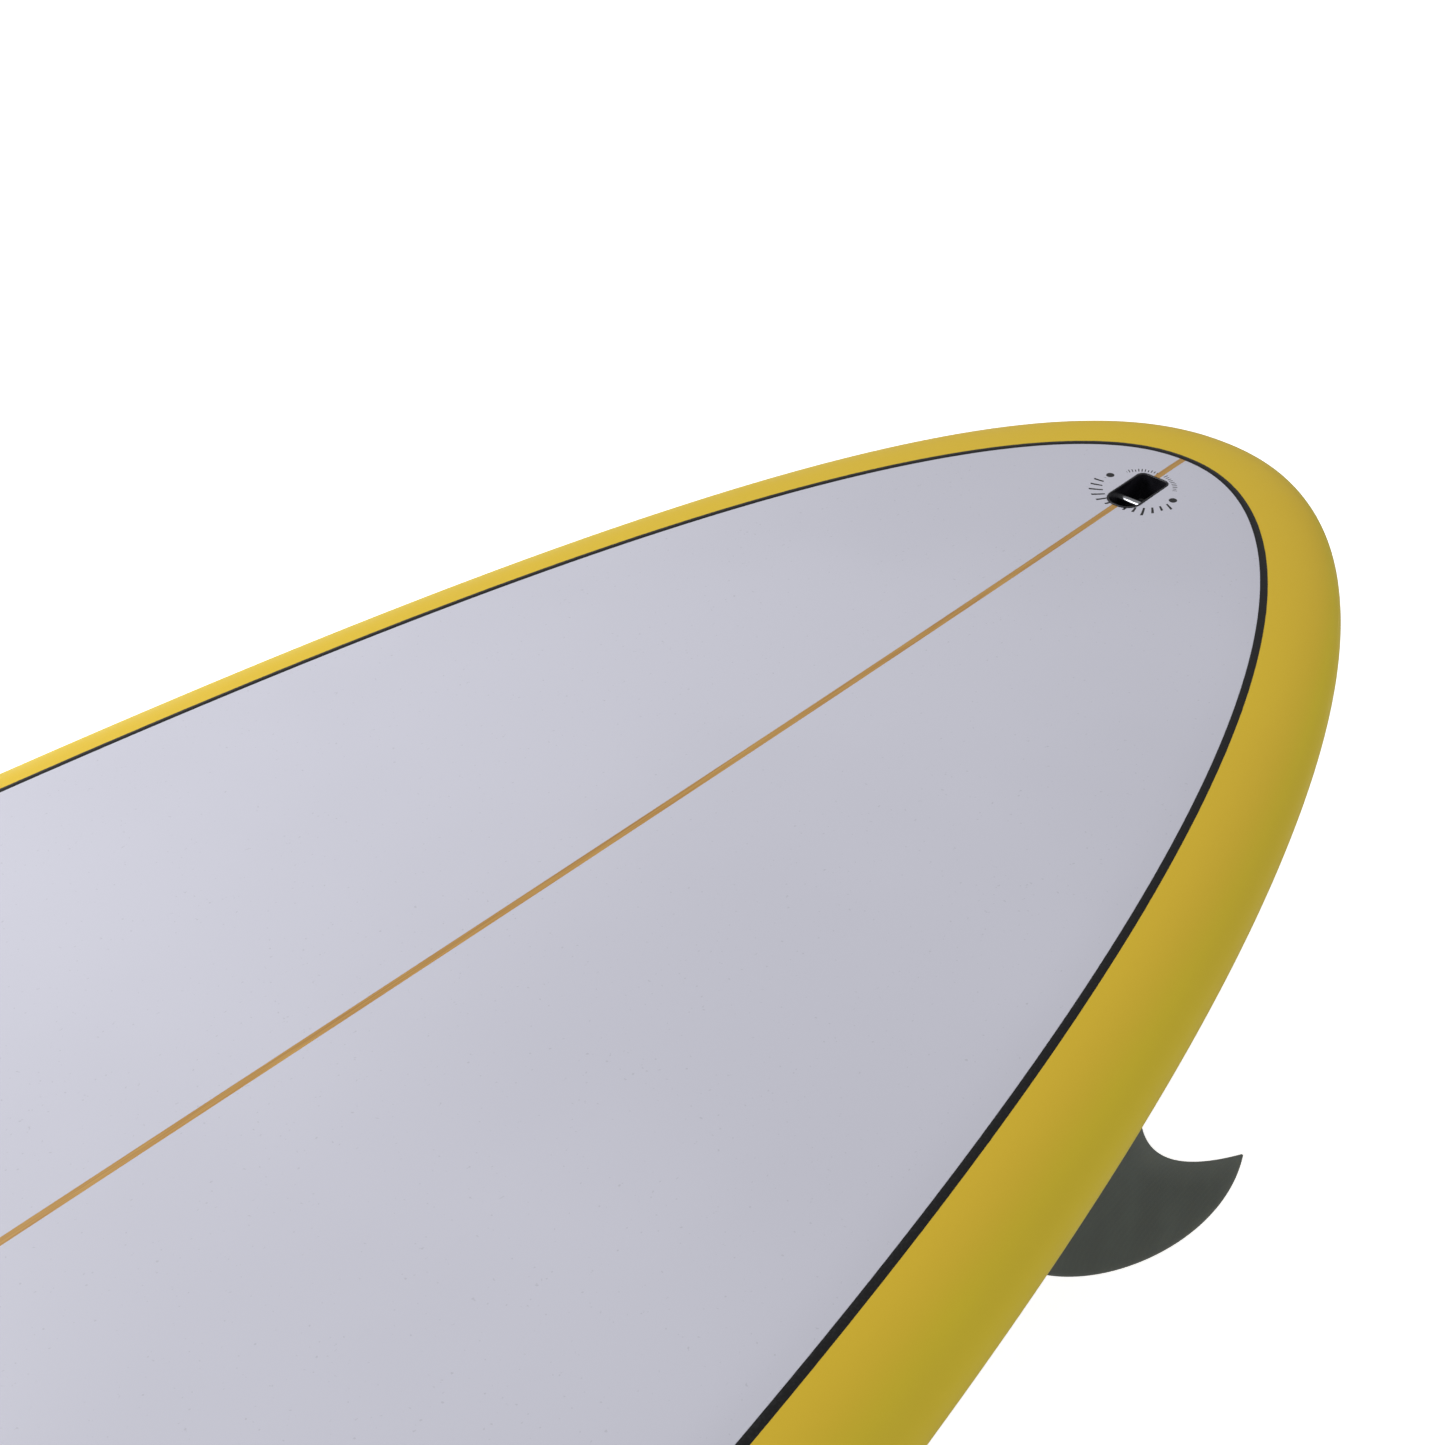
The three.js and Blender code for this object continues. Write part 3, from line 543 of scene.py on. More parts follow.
def stainless(g: Graph) -> None:
    """Turned stainless steel: fine circular tool lines and a bright soft highlight."""
    lines = g.noise(0.25, 3, (1, 8, 1))
    colour = g.mix(g.ramp(lines, 0.3, 0.7), linear("A9AAB0"), linear("BDBEC3"))
    rough = g.ramp(lines, 0.3, 0.7, 0.14, 0.24)
    g.surface(Base_Color=colour, Metallic=1.0, Roughness=rough, Normal=g.bump(lines, 0.006))


def brass(g: Graph) -> None:
    """Drawn brass pin: warm yellow metal, dulled in patches."""
    dull = g.ramp(g.noise(1.5, 4), 0.4, 0.7)
    colour = g.mix(dull, linear("C8A557"), linear("8F7338"))
    g.surface(Base_Color=colour, Metallic=1.0, Roughness=g.math("MULTIPLY_ADD", dull, 0.2, 0.25))


def fin_laminate(g: Graph) -> None:
    """Smoke-tinted glass laminate: grey-green body, a faint weave and paler thin edges."""
    threads = {"Vector": g.place(), "Scale": 1 / (1.6 * MM), "Mortar Size": 0.06}
    weave = g.add("ShaderNodeTexBrick", threads, offset=0.5)
    cloud = g.ramp(g.noise(25, 4), 0.35, 0.7)
    body = g.mix(cloud, linear("353F37"), linear("3E4840"))
    pale = g.add("ShaderNodeAttribute", attribute_name="thinness").outputs["Fac"]
    colour = g.mix(g.math("MULTIPLY", pale, 0.35), body, linear("6A6F68"))
    g.surface(
        Base_Color=colour, Roughness=0.38, Specular_IOR_Level=0.4, Coat_Weight=0.25,
        Coat_Roughness=0.2, Normal=g.bump(weave.outputs["Fac"], 0.01),
    )


RECIPES: dict[Finish, Callable[[Graph], None]] = {
    Finish.DECK: deck_lacquer,
    Finish.BELLY: belly_lacquer,
    Finish.RAIL: rail_lacquer,
    Finish.PINLINE: pinline_resin,
    Finish.WOOD: stringer_wood,
    Finish.FOAM: foam,
    Finish.PLASTIC: black_plastic,
    Finish.STEEL: stainless,
    Finish.FIN: fin_laminate,
    Finish.BRASS: brass,
}
MATERIAL_NAMES = {
    Finish.DECK: "white_gloss_lacquer_deck",
    Finish.BELLY: "white_gloss_lacquer_belly",
    Finish.RAIL: "yellow_satin_lacquer",
    Finish.PINLINE: "black_pulled_resin",
    Finish.WOOD: "sanded_stringer_wood",
    Finish.FOAM: "expanded_foam",
    Finish.PLASTIC: "moulded_black_nylon",
    Finish.STEEL: "turned_stainless_steel",
    Finish.FIN: "smoke_glass_laminate",
    Finish.BRASS: "drawn_brass",
}
_made: dict[Finish, bpy.types.Material] = {}


def material(finish: Finish) -> bpy.types.Material:
    """The finish's material, made once."""
    if finish not in _made:
        made = bpy.data.materials.new(MATERIAL_NAMES[finish])
        RECIPES[finish](Graph(made))
        _made[finish] = made
    return _made[finish]


def wear(obj: bpy.types.Object, finish: Finish) -> None:
    """Gives a whole object one finish."""
    obj.data.materials.clear()
    obj.data.materials.append(material(finish))


@dataclass(frozen=True)
class Piece:
    """A finished visual piece and the CAD nodes it stands for."""

    obj: bpy.types.Object
    body: str
    finish: Finish
    nodes: tuple[str, ...]

    def settle(self) -> None:
        """Dresses the piece, hangs it on its body and reports it."""
        wear(self.obj, self.finish)
        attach(self.obj, self.body)
        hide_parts(*self.nodes)
        faces = len(self.obj.data.polygons)
        LOG.info("%s: %d faces on %s for %s", self.obj.name, faces, self.body, ", ".join(self.nodes))


# ---------------------------------------------------------------- board skins
PINLINE_INSET = 33.2
PINLINE_WIDTH = 3.4
LAP_INSET = 62.0
STRINGER_HALF = 1.6
SEAM = 0.02
STATIONS = 700


@dataclass(frozen=True)
class RoomCutters:
    """Objects that cut the rooms for the plug and the fin boxes out of the skins."""

    plug: bpy.types.Object
    center: bpy.types.Object
    sides: tuple[bpy.types.Object, bpy.types.Object]
    hull: bpy.types.Object

    def remove(self) -> None:
        """Deletes every helper."""
        for obj in (self.plug, self.center, *self.sides, self.hull):
            drop(obj)


@dataclass
class RailRing:
    """Rings that follow the outline at a chosen inset, above or below the rail's widest line."""

    hull: Hull = HULL
    stations: int = STATIONS

    def loop(self) -> tuple[Array, Array]:
        """Outline points and inward normals all the way round, left side first."""
        points, normals = self.hull.outline(self.stations)
        flip = np.array([1.0, -1.0])
        return (
            np.concatenate([points, points[-2:0:-1] * flip]),
            np.concatenate([normals, normals[-2:0:-1] * flip]),
        )

    def ring(self, inset: Array | float, above: bool, depth: float = 0.0) -> Array:
        """Surface points at that inset from the edge.

        Args:
            inset: Millimetres in from the outline, one value or one for each point.
            above: Deck side or belly side.
            depth: How far under the surface, along its normal (dz/dinset gives the slope).
        Returns:
            (n, 3) board millimetres.
        """
        points, normals = self.loop()
        inset = np.broadcast_to(np.asarray(inset, float), (len(points),))

        def at(reach: Array) -> Array:
            plan = points + normals * reach[:, None]
            height = self.hull.deck_height if above else self.hull.belly_height
            return np.column_stack([plan, height(plan[:, 0], plan[:, 1], reach)])

        here = at(inset)
        if not depth:
            return here
        step = 0.02
        rise = (at(inset + step)[:, 2] - here[:, 2]) / step
        size = np.hypot(rise, 1)
        here[:, :2] += normals * (depth * np.abs(rise) / size)[:, None]
        here[:, 2] -= np.sign(1 if above else -1) * depth / size
        return here

    def insets(self, reach: float, power: float, last: float, count: int) -> Array:
        """Insets from the edge to last, evenly turned: reach (1 - cos^(2/p) a)."""
        end = math.acos(min(1.0, max(0.0, 1 - last / reach)) ** (power / 2))
        return reach * (1 - np.cos(np.linspace(0, end, count)) ** (2 / power))


@lru_cache(maxsize=4)
def across_plan(inset: float, rows: int, edge: float) -> tuple[Array, Array, Array]:
    """Straight cross-lines from the left ring of that inset to beside the stringer.

    Args:
        inset: Millimetres in from the outline where the patch starts.
        rows: Points across.
        edge: Distance from the middle where it ends.
    Returns:
        s, y and inset, each (rows, stations).
    """
    points, normals = HULL.outline(STATIONS)
    plan = points + normals * inset
    plan = plan[plan[:, 1] > edge + 0.05]
    f = 1 - (1 - np.linspace(0, 1, rows)) ** 0.75
    y = plan[None, :, 1] + (edge - plan[None, :, 1]) * f[:, None]
    s = np.broadcast_to(plan[None, :, 0], y.shape)
    return s, y, HULL.inset_of(np.column_stack([s.ravel(), y.ravel()])).reshape(y.shape)


def across_grid(inset: float, above: bool, side: float, depth: float) -> Array:
    """A half skin's surface, or its inside at that depth, as (rows, stations, 3) row metres."""
    s, y, reach = across_plan(inset, 40, STRINGER_HALF + SEAM)
    z = HULL.deck_height(s, y, reach) - depth if above else HULL.belly_height(s, y, reach) + depth
    return HULL.placed(s, side * y, z)


@dataclass
class Skins:
    """The glassed outside: deck and belly halves, rail laminate, pinline and stringer."""

    cutters: RoomCutters

    def half(self, name: str, inset: float, above: bool, side: float) -> bpy.types.Object:
        """One closed half skin, 2 mm thick."""
        grids = [across_grid(inset, above, side, depth) for depth in (0.0, HULL.skin)]
        points, faces = shell(grids[0], grids[1], False)
        if (side > 0) == above:
            faces = faces[:, ::-1]
        return make_object(name, points, faces)

    def deck(self, name: str, side: float, nodes: tuple[str, ...]) -> Piece:
        """A deck half with its tail patch, up to the pinline, with its part of the plug's hole."""
        obj = self.half(name, PINLINE_INSET + PINLINE_WIDTH + SEAM, True, side)
        boolean(obj, self.cutters.plug, "DIFFERENCE")
        return Piece(obj, "board", Finish.DECK, nodes)

    def belly(self, name: str, side: float, node: str) -> Piece:
        """A belly half, up to the rail's lap, with its part of the long fin box's hole."""
        obj = self.half(name, LAP_INSET + SEAM, False, side)
        boolean(obj, self.cutters.center, "DIFFERENCE")
        return Piece(obj, "board", Finish.BELLY, (node,))

    def rail(self) -> Piece:
        """The rail: deck side from the pinline out, round the edge, and under to the lap."""
        ring = RailRing()
        above = ring.insets(HULL.deck_blend, 2.4, PINLINE_INSET, 13)[::-1]
        below = ring.insets(HULL.belly_blend, HULL.belly_roll, LAP_INSET, 16)[1:]
        grids = []
        for depth in (0.0, HULL.skin):
            rows = [ring.ring(v, True, depth) for v in above] + [ring.ring(v, False, depth) for v in below]
            grid = np.stack(rows)
            grids.append(HULL.placed(grid[..., 0], grid[..., 1], grid[..., 2]))
        points, faces = shell(grids[0], grids[1], True)
        obj = make_object("rail_laminate", points, faces[:, ::-1])
        for cutter in self.cutters.sides:
            boolean(obj, cutter, "DIFFERENCE")
        return Piece(obj, "board", Finish.RAIL, ("rail_band_left", "rail_band_right"))

    def pinline(self) -> Piece:
        """The black line, pulled by hand: its edges wander by a tenth of a millimetre."""
        ring = RailRing(stations=1500)
        n = 2 * ring.stations - 2
        rng = np.random.default_rng(11)

        def wander() -> Array:
            """Sum of a few sines with whole turns round the board, a tenth of a millimetre high."""
            a = np.arange(n) / n * 2 * np.pi
            turns = rng.integers(60, 700, 24)
            phase = rng.uniform(0, 2 * np.pi, 24)
            return np.sin(a[:, None] * turns + phase).sum(1) / 24 * 0.28

        outer, inner = PINLINE_INSET + SEAM + wander() - 0.02, PINLINE_INSET + PINLINE_WIDTH - SEAM + wander()
        crest = [(0.0, -0.02), (0.06, 0.10), (0.5, 0.16), (0.94, 0.10), (1.0, -0.02)]
        top = np.stack([ring.ring(outer + (inner - outer) * f, True, -up) for f, up in crest])
        low = np.stack([ring.ring(outer + (inner - outer) * f, True, HULL.skin) for f, _ in crest])
        grids = [HULL.placed(g[..., 0], g[..., 1], g[..., 2]) for g in (top, low)]
        points, faces = shell(grids[0], grids[1], True)
        return Piece(make_object("pinline_resin", points, faces), "board", Finish.PINLINE, ("pinline",))

    def stringer(self) -> Piece:
        """The plank between the foam halves: s runs in 900 steps, its edges flush with the skins."""
        tail, nose = 2.3 + HULL.skin, HULL.length - 2.3 - HULL.skin
        turn = np.linspace(0, np.pi, 900)
        s = tail + (nose - tail) / 2 * (1 - np.cos(turn))
        under, lap = PINLINE_INSET + PINLINE_WIDTH - 0.8, LAP_INSET - 0.1
        steps = np.array([under - 0.01, under + 0.01, lap - 0.01, lap + 0.01])
        s = np.unique(np.concatenate([s, steps, HULL.length - steps]))
        near = np.minimum(s, HULL.length - s)
        deck = HULL.deck_height(s, 0 * s, near) - np.where(near > under, 0.0, 2.4)
        belly = HULL.belly_height(s, 0 * s, near) + np.where(near > lap, 0.0, 2.4)
        deck = np.maximum(deck, belly + 1.0)
        w = STRINGER_HALF
        corners = [(w, belly), (w, deck), (-w, deck), (-w, belly)]
        rings = np.stack([np.stack([s, np.full_like(s, y), z], 1) for y, z in corners], 1)
        points, faces = loft(HULL.placed(rings[..., 0], rings[..., 1], rings[..., 2]))
        obj = make_object("stringer_plank", points, faces)
        boolean(obj, self.cutters.plug, "DIFFERENCE")
        boolean(obj, self.cutters.center, "DIFFERENCE")
        return Piece(obj, "board", Finish.WOOD, ("stringer",))


# ---------------------------------------------------------------- local frames
GAP = 0.3
CUT_GAP = 0.06
SIDES = 64
ABOVE, BELOW = 20.0, -20.0  # well clear of a mouth, for cutters
PROUD = -12.0               # how far a box stands out before it is sanded flush


def frame_at(station: float, offset: float, cant: float, toe: float) -> Array:
    """Frame on the belly: +X forwards along it, +Z into the board, mouth at z = 0.

    Args:
        station: Millimetres from the tail.
        offset: Millimetres left of the stringer.
        cant: Outward lean in radians.
        toe: Inward turn of the front in radians.
    Returns:
        A 4x4 matrix in board millimetres.
    """
    s = np.array([station, station - 50, station + 50])
    y = np.full(3, float(offset))
    z = HULL.belly_height(s, y, HULL.inset_of(np.column_stack([s, y])))
    side = np.sign(offset)
    forward = np.array([100.0, -side * toe * 100, z[2] - z[1]])
    forward /= np.linalg.norm(forward)
    left = np.cross([0.0, -side * np.sin(cant), np.cos(cant)], forward)
    left /= np.linalg.norm(left)
    frame = np.eye(4)
    frame[:3, :3] = np.column_stack([forward, left, np.cross(forward, left)])
    frame[:3, 3] = [station, offset, z[0]]
    return frame


def upright(station: float, height: float) -> Array:
    """A level frame over the stringer."""
    frame = np.eye(4)
    frame[:3, 3] = [station, 0.0, height]
    return frame


def turned(
    name: str,
    profile: Sequence[tuple[float, float]],
    frame: Array,
    at: tuple[float, float] = (0.0, 0.0),
    across: bool = False,
) -> bpy.types.Object:
    """A turned piece: the profile's [radius, height] points swept round an axis.

    Args:
        name: Object name.
        profile: Radius and height pairs from the low end to the high end, millimetres.
        frame: Local frame.
        at: Where the axis crosses, [x, y], or [x, z] for a piece lying across.
        across: Axis along local Y.
    Returns:
        The object.
    """
    a = np.linspace(0, 2 * np.pi, SIDES, endpoint=False)
    around = np.column_stack([np.cos(a), np.sin(a)])
    rings = np.stack([np.column_stack([r * around, np.full(SIDES, h)]) for r, h in profile])
    if across:
        rings = rings[..., [1, 2, 0]]
        rings = rings + np.array([at[0], 0.0, at[1]])
    else:
        rings = rings + np.array([at[0], at[1], 0.0])
    points, faces = loft(moved(rings, frame))
    return make_object(name, points, faces)


def prism(name: str, loops: Sequence[tuple[Array, float]], frame: Array) -> bpy.types.Object:
    """Plan loops at their heights, closed, in a local frame."""
    points, faces = loft(moved(stack(loops), frame))
    return make_object(name, points, faces)


def bar(name: str, x: tuple, y: tuple, z: tuple, frame: Array) -> bpy.types.Object:
    """A plain rectangular cutter or tab."""
    loop = np.array([[x[0], y[0]], [x[1], y[0]], [x[1], y[1]], [x[0], y[1]]], float)
    return prism(name, [(loop, z[0]), (loop, z[1])], frame)


def cut(obj: bpy.types.Object, *cutters: bpy.types.Object, operation: str = "DIFFERENCE") -> None:
    """Booleans that use up their cutters."""
    for cutter in cutters:
        boolean(obj, cutter, operation)
        drop(cutter)


# ---------------------------------------------------------------- leash plug
@dataclass
class LeashPlug:
    """A moulded cup let into the deck, with a steel bar across it."""

    station: float = 74.7
    lip: tuple[float, float] = (33.4, 17.4)
    wall: float = 1.0
    flange: float = 2.6
    depth: float = 14.5
    floor: float = 2.2
    bar_radius: float = 2.0
    bar_drop: float = 6.2
    bar_shift: float = 1.5

    @property
    def shoulder(self) -> float:
        """Height of the flange's top, under the skin."""
        return -(HULL.skin + 3.3 * GAP)

    def frame(self) -> Array:
        """Level, its mouth a gap's height above the deck."""
        top = HULL.deck_height(np.array(self.station), np.array(0.0), np.array(self.station)) + GAP
        return upright(self.station, float(top))

    def loop(self, reach: float) -> Array:
        """The lip's plan shape, grown by reach."""
        return slot_loop(self.lip[0] + 2 * reach, self.lip[1] + 2 * reach, 4 + reach, 8 + reach)

    def room(self) -> bpy.types.Object:
        """Cutter for the skins and the stringer."""
        step = self.shoulder + GAP
        wide, lip = self.loop(self.flange + CUT_GAP), self.loop(CUT_GAP)
        levels = [(wide, -self.depth - self.floor - 1), (wide, step), (lip, step), (lip, ABOVE)]
        return prism("plug_room", levels, self.frame())

    def cup(self) -> Piece:
        """Wall profile swept round the lip's shape, as [reach, height].

        It runs from the bottom over the rounded lip to the floor inside.
        """
        bottom, rim = -self.depth - self.floor, self.flange
        outside = [
            (rim - 0.6, bottom), (rim - 0.18, bottom + 0.18), (rim, bottom + 0.6),
            (rim, self.shoulder - 0.3), (rim - 0.3, self.shoulder), (0.0, self.shoulder),
        ]
        lip = [(0.0, -0.42), (-0.05, -0.2), (-0.18, -0.05), (-0.36, 0.0)]
        inside = [(0.42, 0.0), (0.2, -0.06), (0.05, -0.24), (0.0, -0.55)]
        foot = [(0.0, 1.6), (-0.2, 0.7), (-0.7, 0.2), (-1.6, 0.0)]
        profile = outside + lip + [(r - self.wall, z) for r, z in inside]
        profile += [(r - self.wall, z - self.depth) for r, z in foot]
        obj = prism("leash_cup", [(self.loop(r), z) for r, z in profile], self.frame())
        return Piece(obj, "board", Finish.PLASTIC, ("leash_plug_cup",))

    def crossbar(self) -> Piece:
        """Steel bar, its ends let into the cup's walls."""
        half = self.lip[1] / 2 - self.wall + 1.2
        r = self.bar_radius
        profile = [(r - 0.3, -half), (r, -half + 0.3), (r, half - 0.3), (r - 0.3, half)]
        obj = turned("leash_bar", profile, self.frame(), (self.bar_shift, -self.bar_drop), True)
        return Piece(obj, "board", Finish.STEEL, ("leash_plug_bar",))

    def pieces(self) -> list[Piece]:
        """Cup and bar."""
        return [self.cup(), self.crossbar()]


# ---------------------------------------------------------------- fins and their boxes
def bezier(points: Array, t: Array) -> Array:
    """Cubic curve q^3 P0 + 3 q^2 t P1 + 3 q t^2 P2 + t^3 P3, q = 1 - t."""
    q = 1 - t
    weights = np.stack([q**3, 3 * q * q * t, 3 * q * t * t, t**3], 1)
    return weights @ np.asarray(points, float)


@dataclass(frozen=True)
class Blade:
    """A fin's blade below z = 0, drawn by its front and back curves as [x, depth]."""

    front: tuple
    back: tuple
    root: float
    faces: tuple[float, float]
    shift: float = 0.0
    spans: int = 70
    chords: int = 36

    def build(self, name: str, frame: Array) -> bpy.types.Object:
        """Rings of an aerofoil section, closed at the tip.

        Half thickness: 5 T (0.2969 sqrt u - 0.126 u - 0.3516 u^2 + 0.2843 u^3 - 0.1036 u^4).
        """
        t = np.sort(np.concatenate([[0.0], np.linspace(0, 1, self.spans, endpoint=False), [0.985, 0.995]]))
        front, back = bezier(self.front, t), bezier(self.back, t)
        chord = np.linalg.norm(front - back, axis=1)
        root = self.front[0][0] - self.back[0][0]
        thick = self.root * np.minimum(1, chord / root) ** 0.9 * (1 - 0.35 * t)
        around = np.concatenate([np.arange(self.chords + 1), np.arange(self.chords - 1, 0, -1)])
        side = np.where(np.arange(2 * self.chords) <= self.chords, 1.0, -1.0)
        u = 0.5 * (1 - np.cos(np.pi * around / self.chords))
        section = 5 * (0.2969 * np.sqrt(u) - 0.126 * u - 0.3516 * u**2 + 0.2843 * u**3 - 0.1036 * u**4)
        section = np.clip(section, 0, None)
        half = thick[:, None] * section
        plan = front[:, None] + (back - front)[:, None] * u[None, :, None]
        face = np.where(side > 0, self.faces[0], self.faces[1])
        rise = np.where(np.arange(len(t)) == 0, 2.5, 0.0)
        rings = np.stack([plan[..., 0] + self.shift, side * half * face, rise[:, None] - plan[..., 1]], -1)
        points, faces = loft(moved(rings, frame))
        obj = make_object(name, points, faces[:, ::-1], 60)
        thin = 1 - np.clip((half - 0.10) / 0.75, 0, 1)
        values = np.concatenate([thin.ravel(), [0.0, 1.0]]).astype(np.float32)
        mesh = obj.data
        attribute = mesh.attributes.new("thinness", "FLOAT", "POINT")
        attribute.data.foreach_set("value", values[: len(mesh.vertices)])
        return obj


def round_slot(size: Sequence[float], grow: float = 0.0, shift: float = 0.0) -> Array:
    """Round-ended plan shape, grown and moved along X."""
    r = size[1] / 2 + grow - 0.01
    return slot_loop(size[0] + 2 * grow, size[1] + 2 * grow, r, r) + [shift, 0.0]


@dataclass
class CenterFin:
    """Long box under the tail with a sliding fin, its screw, nut and cross pin."""

    station: float = 276.0
    box: tuple = (267.0, 20.0, 24.0)
    flange: tuple = (277.0, 27.0, 2.4)
    slot: tuple = (252.0, 9.9, 19.0)
    groove: tuple = (15.0, 5.0, 9.0)
    tab: tuple = (164.0, 9.3, 17.0)
    depth: float = 177.3
    base: float = 140.0

    def __post_init__(self) -> None:
        self.frame = frame_at(self.station, 0.0, 0.0, 0.0)
        self.screw_x = self.tab[0] / 2 - 12
        self.pin_x = -self.tab[0] / 2 + 20
        self.groove_middle = self.groove[2] + self.groove[1] / 2

    def outside(self, grow: float) -> list[tuple[Array, float]]:
        """Loops of the box and its flange, grown."""
        wide, slim = round_slot(self.flange, grow), round_slot(self.box, grow)
        step = self.flange[2] + grow
        return [(wide, PROUD), (wide, step), (slim, step), (slim, self.box[2] + grow)]

    def room(self) -> bpy.types.Object:
        """Cutter for the belly skins and the stringer."""
        return prism("center_room", self.outside(CUT_GAP), self.frame)

    def slot_box(self, belly: bpy.types.Object) -> Piece:
        """Box with its slot, side grooves and entry, sanded flush with the belly."""
        obj = prism("center_box", self.outside(0.0), self.frame)
        loop = round_slot(self.slot)
        reach = self.slot[0] / 2 - 4
        half = self.groove[0] / 2
        heights = (self.groove[2], self.groove[2] + self.groove[1])
        cut(
            obj,
            prism("slot", [(loop, BELOW), (loop, self.slot[2])], self.frame),
            bar("groove", (-reach, reach), (-half, half), heights, self.frame),
            bar("entry", (-reach, -reach + 7), (-half, half), (BELOW, self.groove_middle), self.frame),
        )
        boolean(obj, belly, "INTERSECT")
        return Piece(obj, "board", Finish.PLASTIC, ("center_fin_box",))

    def fin(self) -> Piece:
        """Raked blade, its tab in the slot and the thin tongue under the screw."""
        b, d = self.base, self.depth
        tip = (-0.74 * b, 0.98 * d)
        blade = Blade(
            ((0.5 * b, 0), (0.4 * b, 0.48 * d), (-0.2 * b, 1.16 * d), tip),
            ((-0.5 * b, 0), (-0.2 * b, 0.26 * d), (-0.3 * b, 0.62 * d), tip),
            self.tab[1], (1.0, 1.0), (b - self.tab[0]) / 2,
        )
        obj = blade.build("center_fin_blade", self.frame)
        length, width, depth = self.tab
        step = self.screw_x - 10
        pin_at = (self.pin_x, self.groove_middle)
        cut(
            obj,
            bar("tab", (-length / 2, step), (-width / 2, width / 2), (1.0, depth), self.frame),
            bar("tongue", (step - 1, length / 2), (-width / 2, width / 2), (3.4, 7.4), self.frame),
            operation="UNION",
        )
        cut(
            obj,
            turned("screw_hole", [(2.4, -5.0), (2.4, ABOVE)], self.frame, (self.screw_x, 0.0)),
            turned("pin_hole", [(2.3, BELOW), (2.3, ABOVE)], self.frame, pin_at, True),
        )
        return Piece(obj, "center_fin", Finish.FIN, ("center_fin",))

    def screw(self) -> Piece:
        """Slotted screw with a domed edge."""
        head = [(2.2, 0.5), (3.3, 0.56), (3.75, 0.75), (4.0, 1.2), (4.0, 2.9), (3.85, 3.1)]
        shank = [(2.0, 3.1), (2.0, 15.1), (1.6, 15.5)]
        obj = turned("center_screw", head + shank, self.frame, (self.screw_x, 0.0))
        cut(obj, bar("screw_slot", (self.screw_x - 6, self.screw_x + 6), (-0.6, 0.6), (0.0, 1.9), self.frame))
        return Piece(obj, "center_fin_screw", Finish.STEEL, ("center_fin_screw",))

    def pieces(self, belly: bpy.types.Object) -> list[Piece]:
        """Box, fin and screw."""
        return [self.slot_box(belly), self.fin(), self.screw()]


@dataclass
class SideFin:
    """A canted side fin in its own short box."""

    name: str
    side: float
    station: float = 372.0
    offset: float = 190.0
    cant: float = 0.10
    toe: float = 0.035
    box: tuple = (134.0, 15.0, 18.0)
    slot: tuple = (114.0, 7.0, 14.5)
    tab: tuple = (113.4, 6.4, 13.5)
    depth: float = 126.0
    base: float = 108.0
    shift: float = -3.0

    def __post_init__(self) -> None:
        self.frame = frame_at(self.station, self.side * self.offset, self.cant, self.toe)

    def room(self) -> bpy.types.Object:
        """Cutter for the rail's lap."""
        loop = round_slot(self.box, CUT_GAP)
        return prism(f"side_room_{self.name}", [(loop, PROUD), (loop, self.box[2] + GAP)], self.frame)

    def short_box(self, belly: bpy.types.Object) -> Piece:
        """Box with its slot and the set screw's hole, sanded flush."""
        outside, slot = round_slot(self.box), round_slot(self.slot, 0.0, self.shift)
        obj = prism(f"side_box_{self.name}", [(outside, PROUD), (outside, self.box[2])], self.frame)
        screw_x = self.shift + self.slot[0] / 2 + 2.2
        cut(
            obj,
            prism("side_slot", [(slot, BELOW), (slot, self.slot[2])], self.frame),
            turned("side_hole", [(2.5, BELOW), (2.5, 12.0)], self.frame, (screw_x, 0.0)),
        )
        boolean(obj, belly, "INTERSECT")
        return Piece(obj, "board", Finish.PLASTIC, (f"side_fin_box_{self.name}",))

    def fin(self) -> Piece:
        """Swept blade, flat inside and foiled outside, with its tab."""
        b, d = self.base, self.depth
        tip = (-0.87 * b, 0.885 * d)
        blade = Blade(
            ((0.5 * b, 0), (0.62 * b, 0.56 * d), (-0.67 * b, 1.31 * d), tip),
            ((-0.5 * b, 0), (-0.23 * b, 0.24 * d), (-0.2 * b, 0.52 * d), tip),
            self.tab[1], (1.0, 0.04) if self.side > 0 else (0.04, 1.0),
        )
        obj = blade.build(f"side_fin_blade_{self.name}", self.frame)
        loop = round_slot(self.tab, 0.0, self.shift)
        tab = prism("side_tab", [(loop, 1.0), (loop, self.tab[2])], self.frame)
        cut(obj, tab, operation="UNION")
        return Piece(obj, f"side_fin_{self.name}", Finish.FIN, (f"side_fin_{self.name}",))

    def pieces(self, belly: bpy.types.Object) -> list[Piece]:
        """Box and fin. The set screw keeps its own shape."""
        return [self.short_box(belly), self.fin()]


def belly_block() -> bpy.types.Object:
    """The board above its belly round the fins: a height field z = belly(s, y), closed on top."""
    s, y = np.meshgrid(np.linspace(110, 520, 124), np.linspace(-216, 216, 173), indexing="ij")
    reach = HULL.inset_of(np.column_stack([s.ravel(), y.ravel()])).reshape(s.shape)
    reach = np.where(np.abs(y) < HULL.half_width(s), reach, 0.0)
    low = HULL.belly_height(s, y, reach)
    grids = [HULL.placed(s, y, z) for z in (low, np.full_like(low, 160.0))]
    points, faces = shell(grids[1], grids[0], False)
    return make_object("belly_block", points, faces)


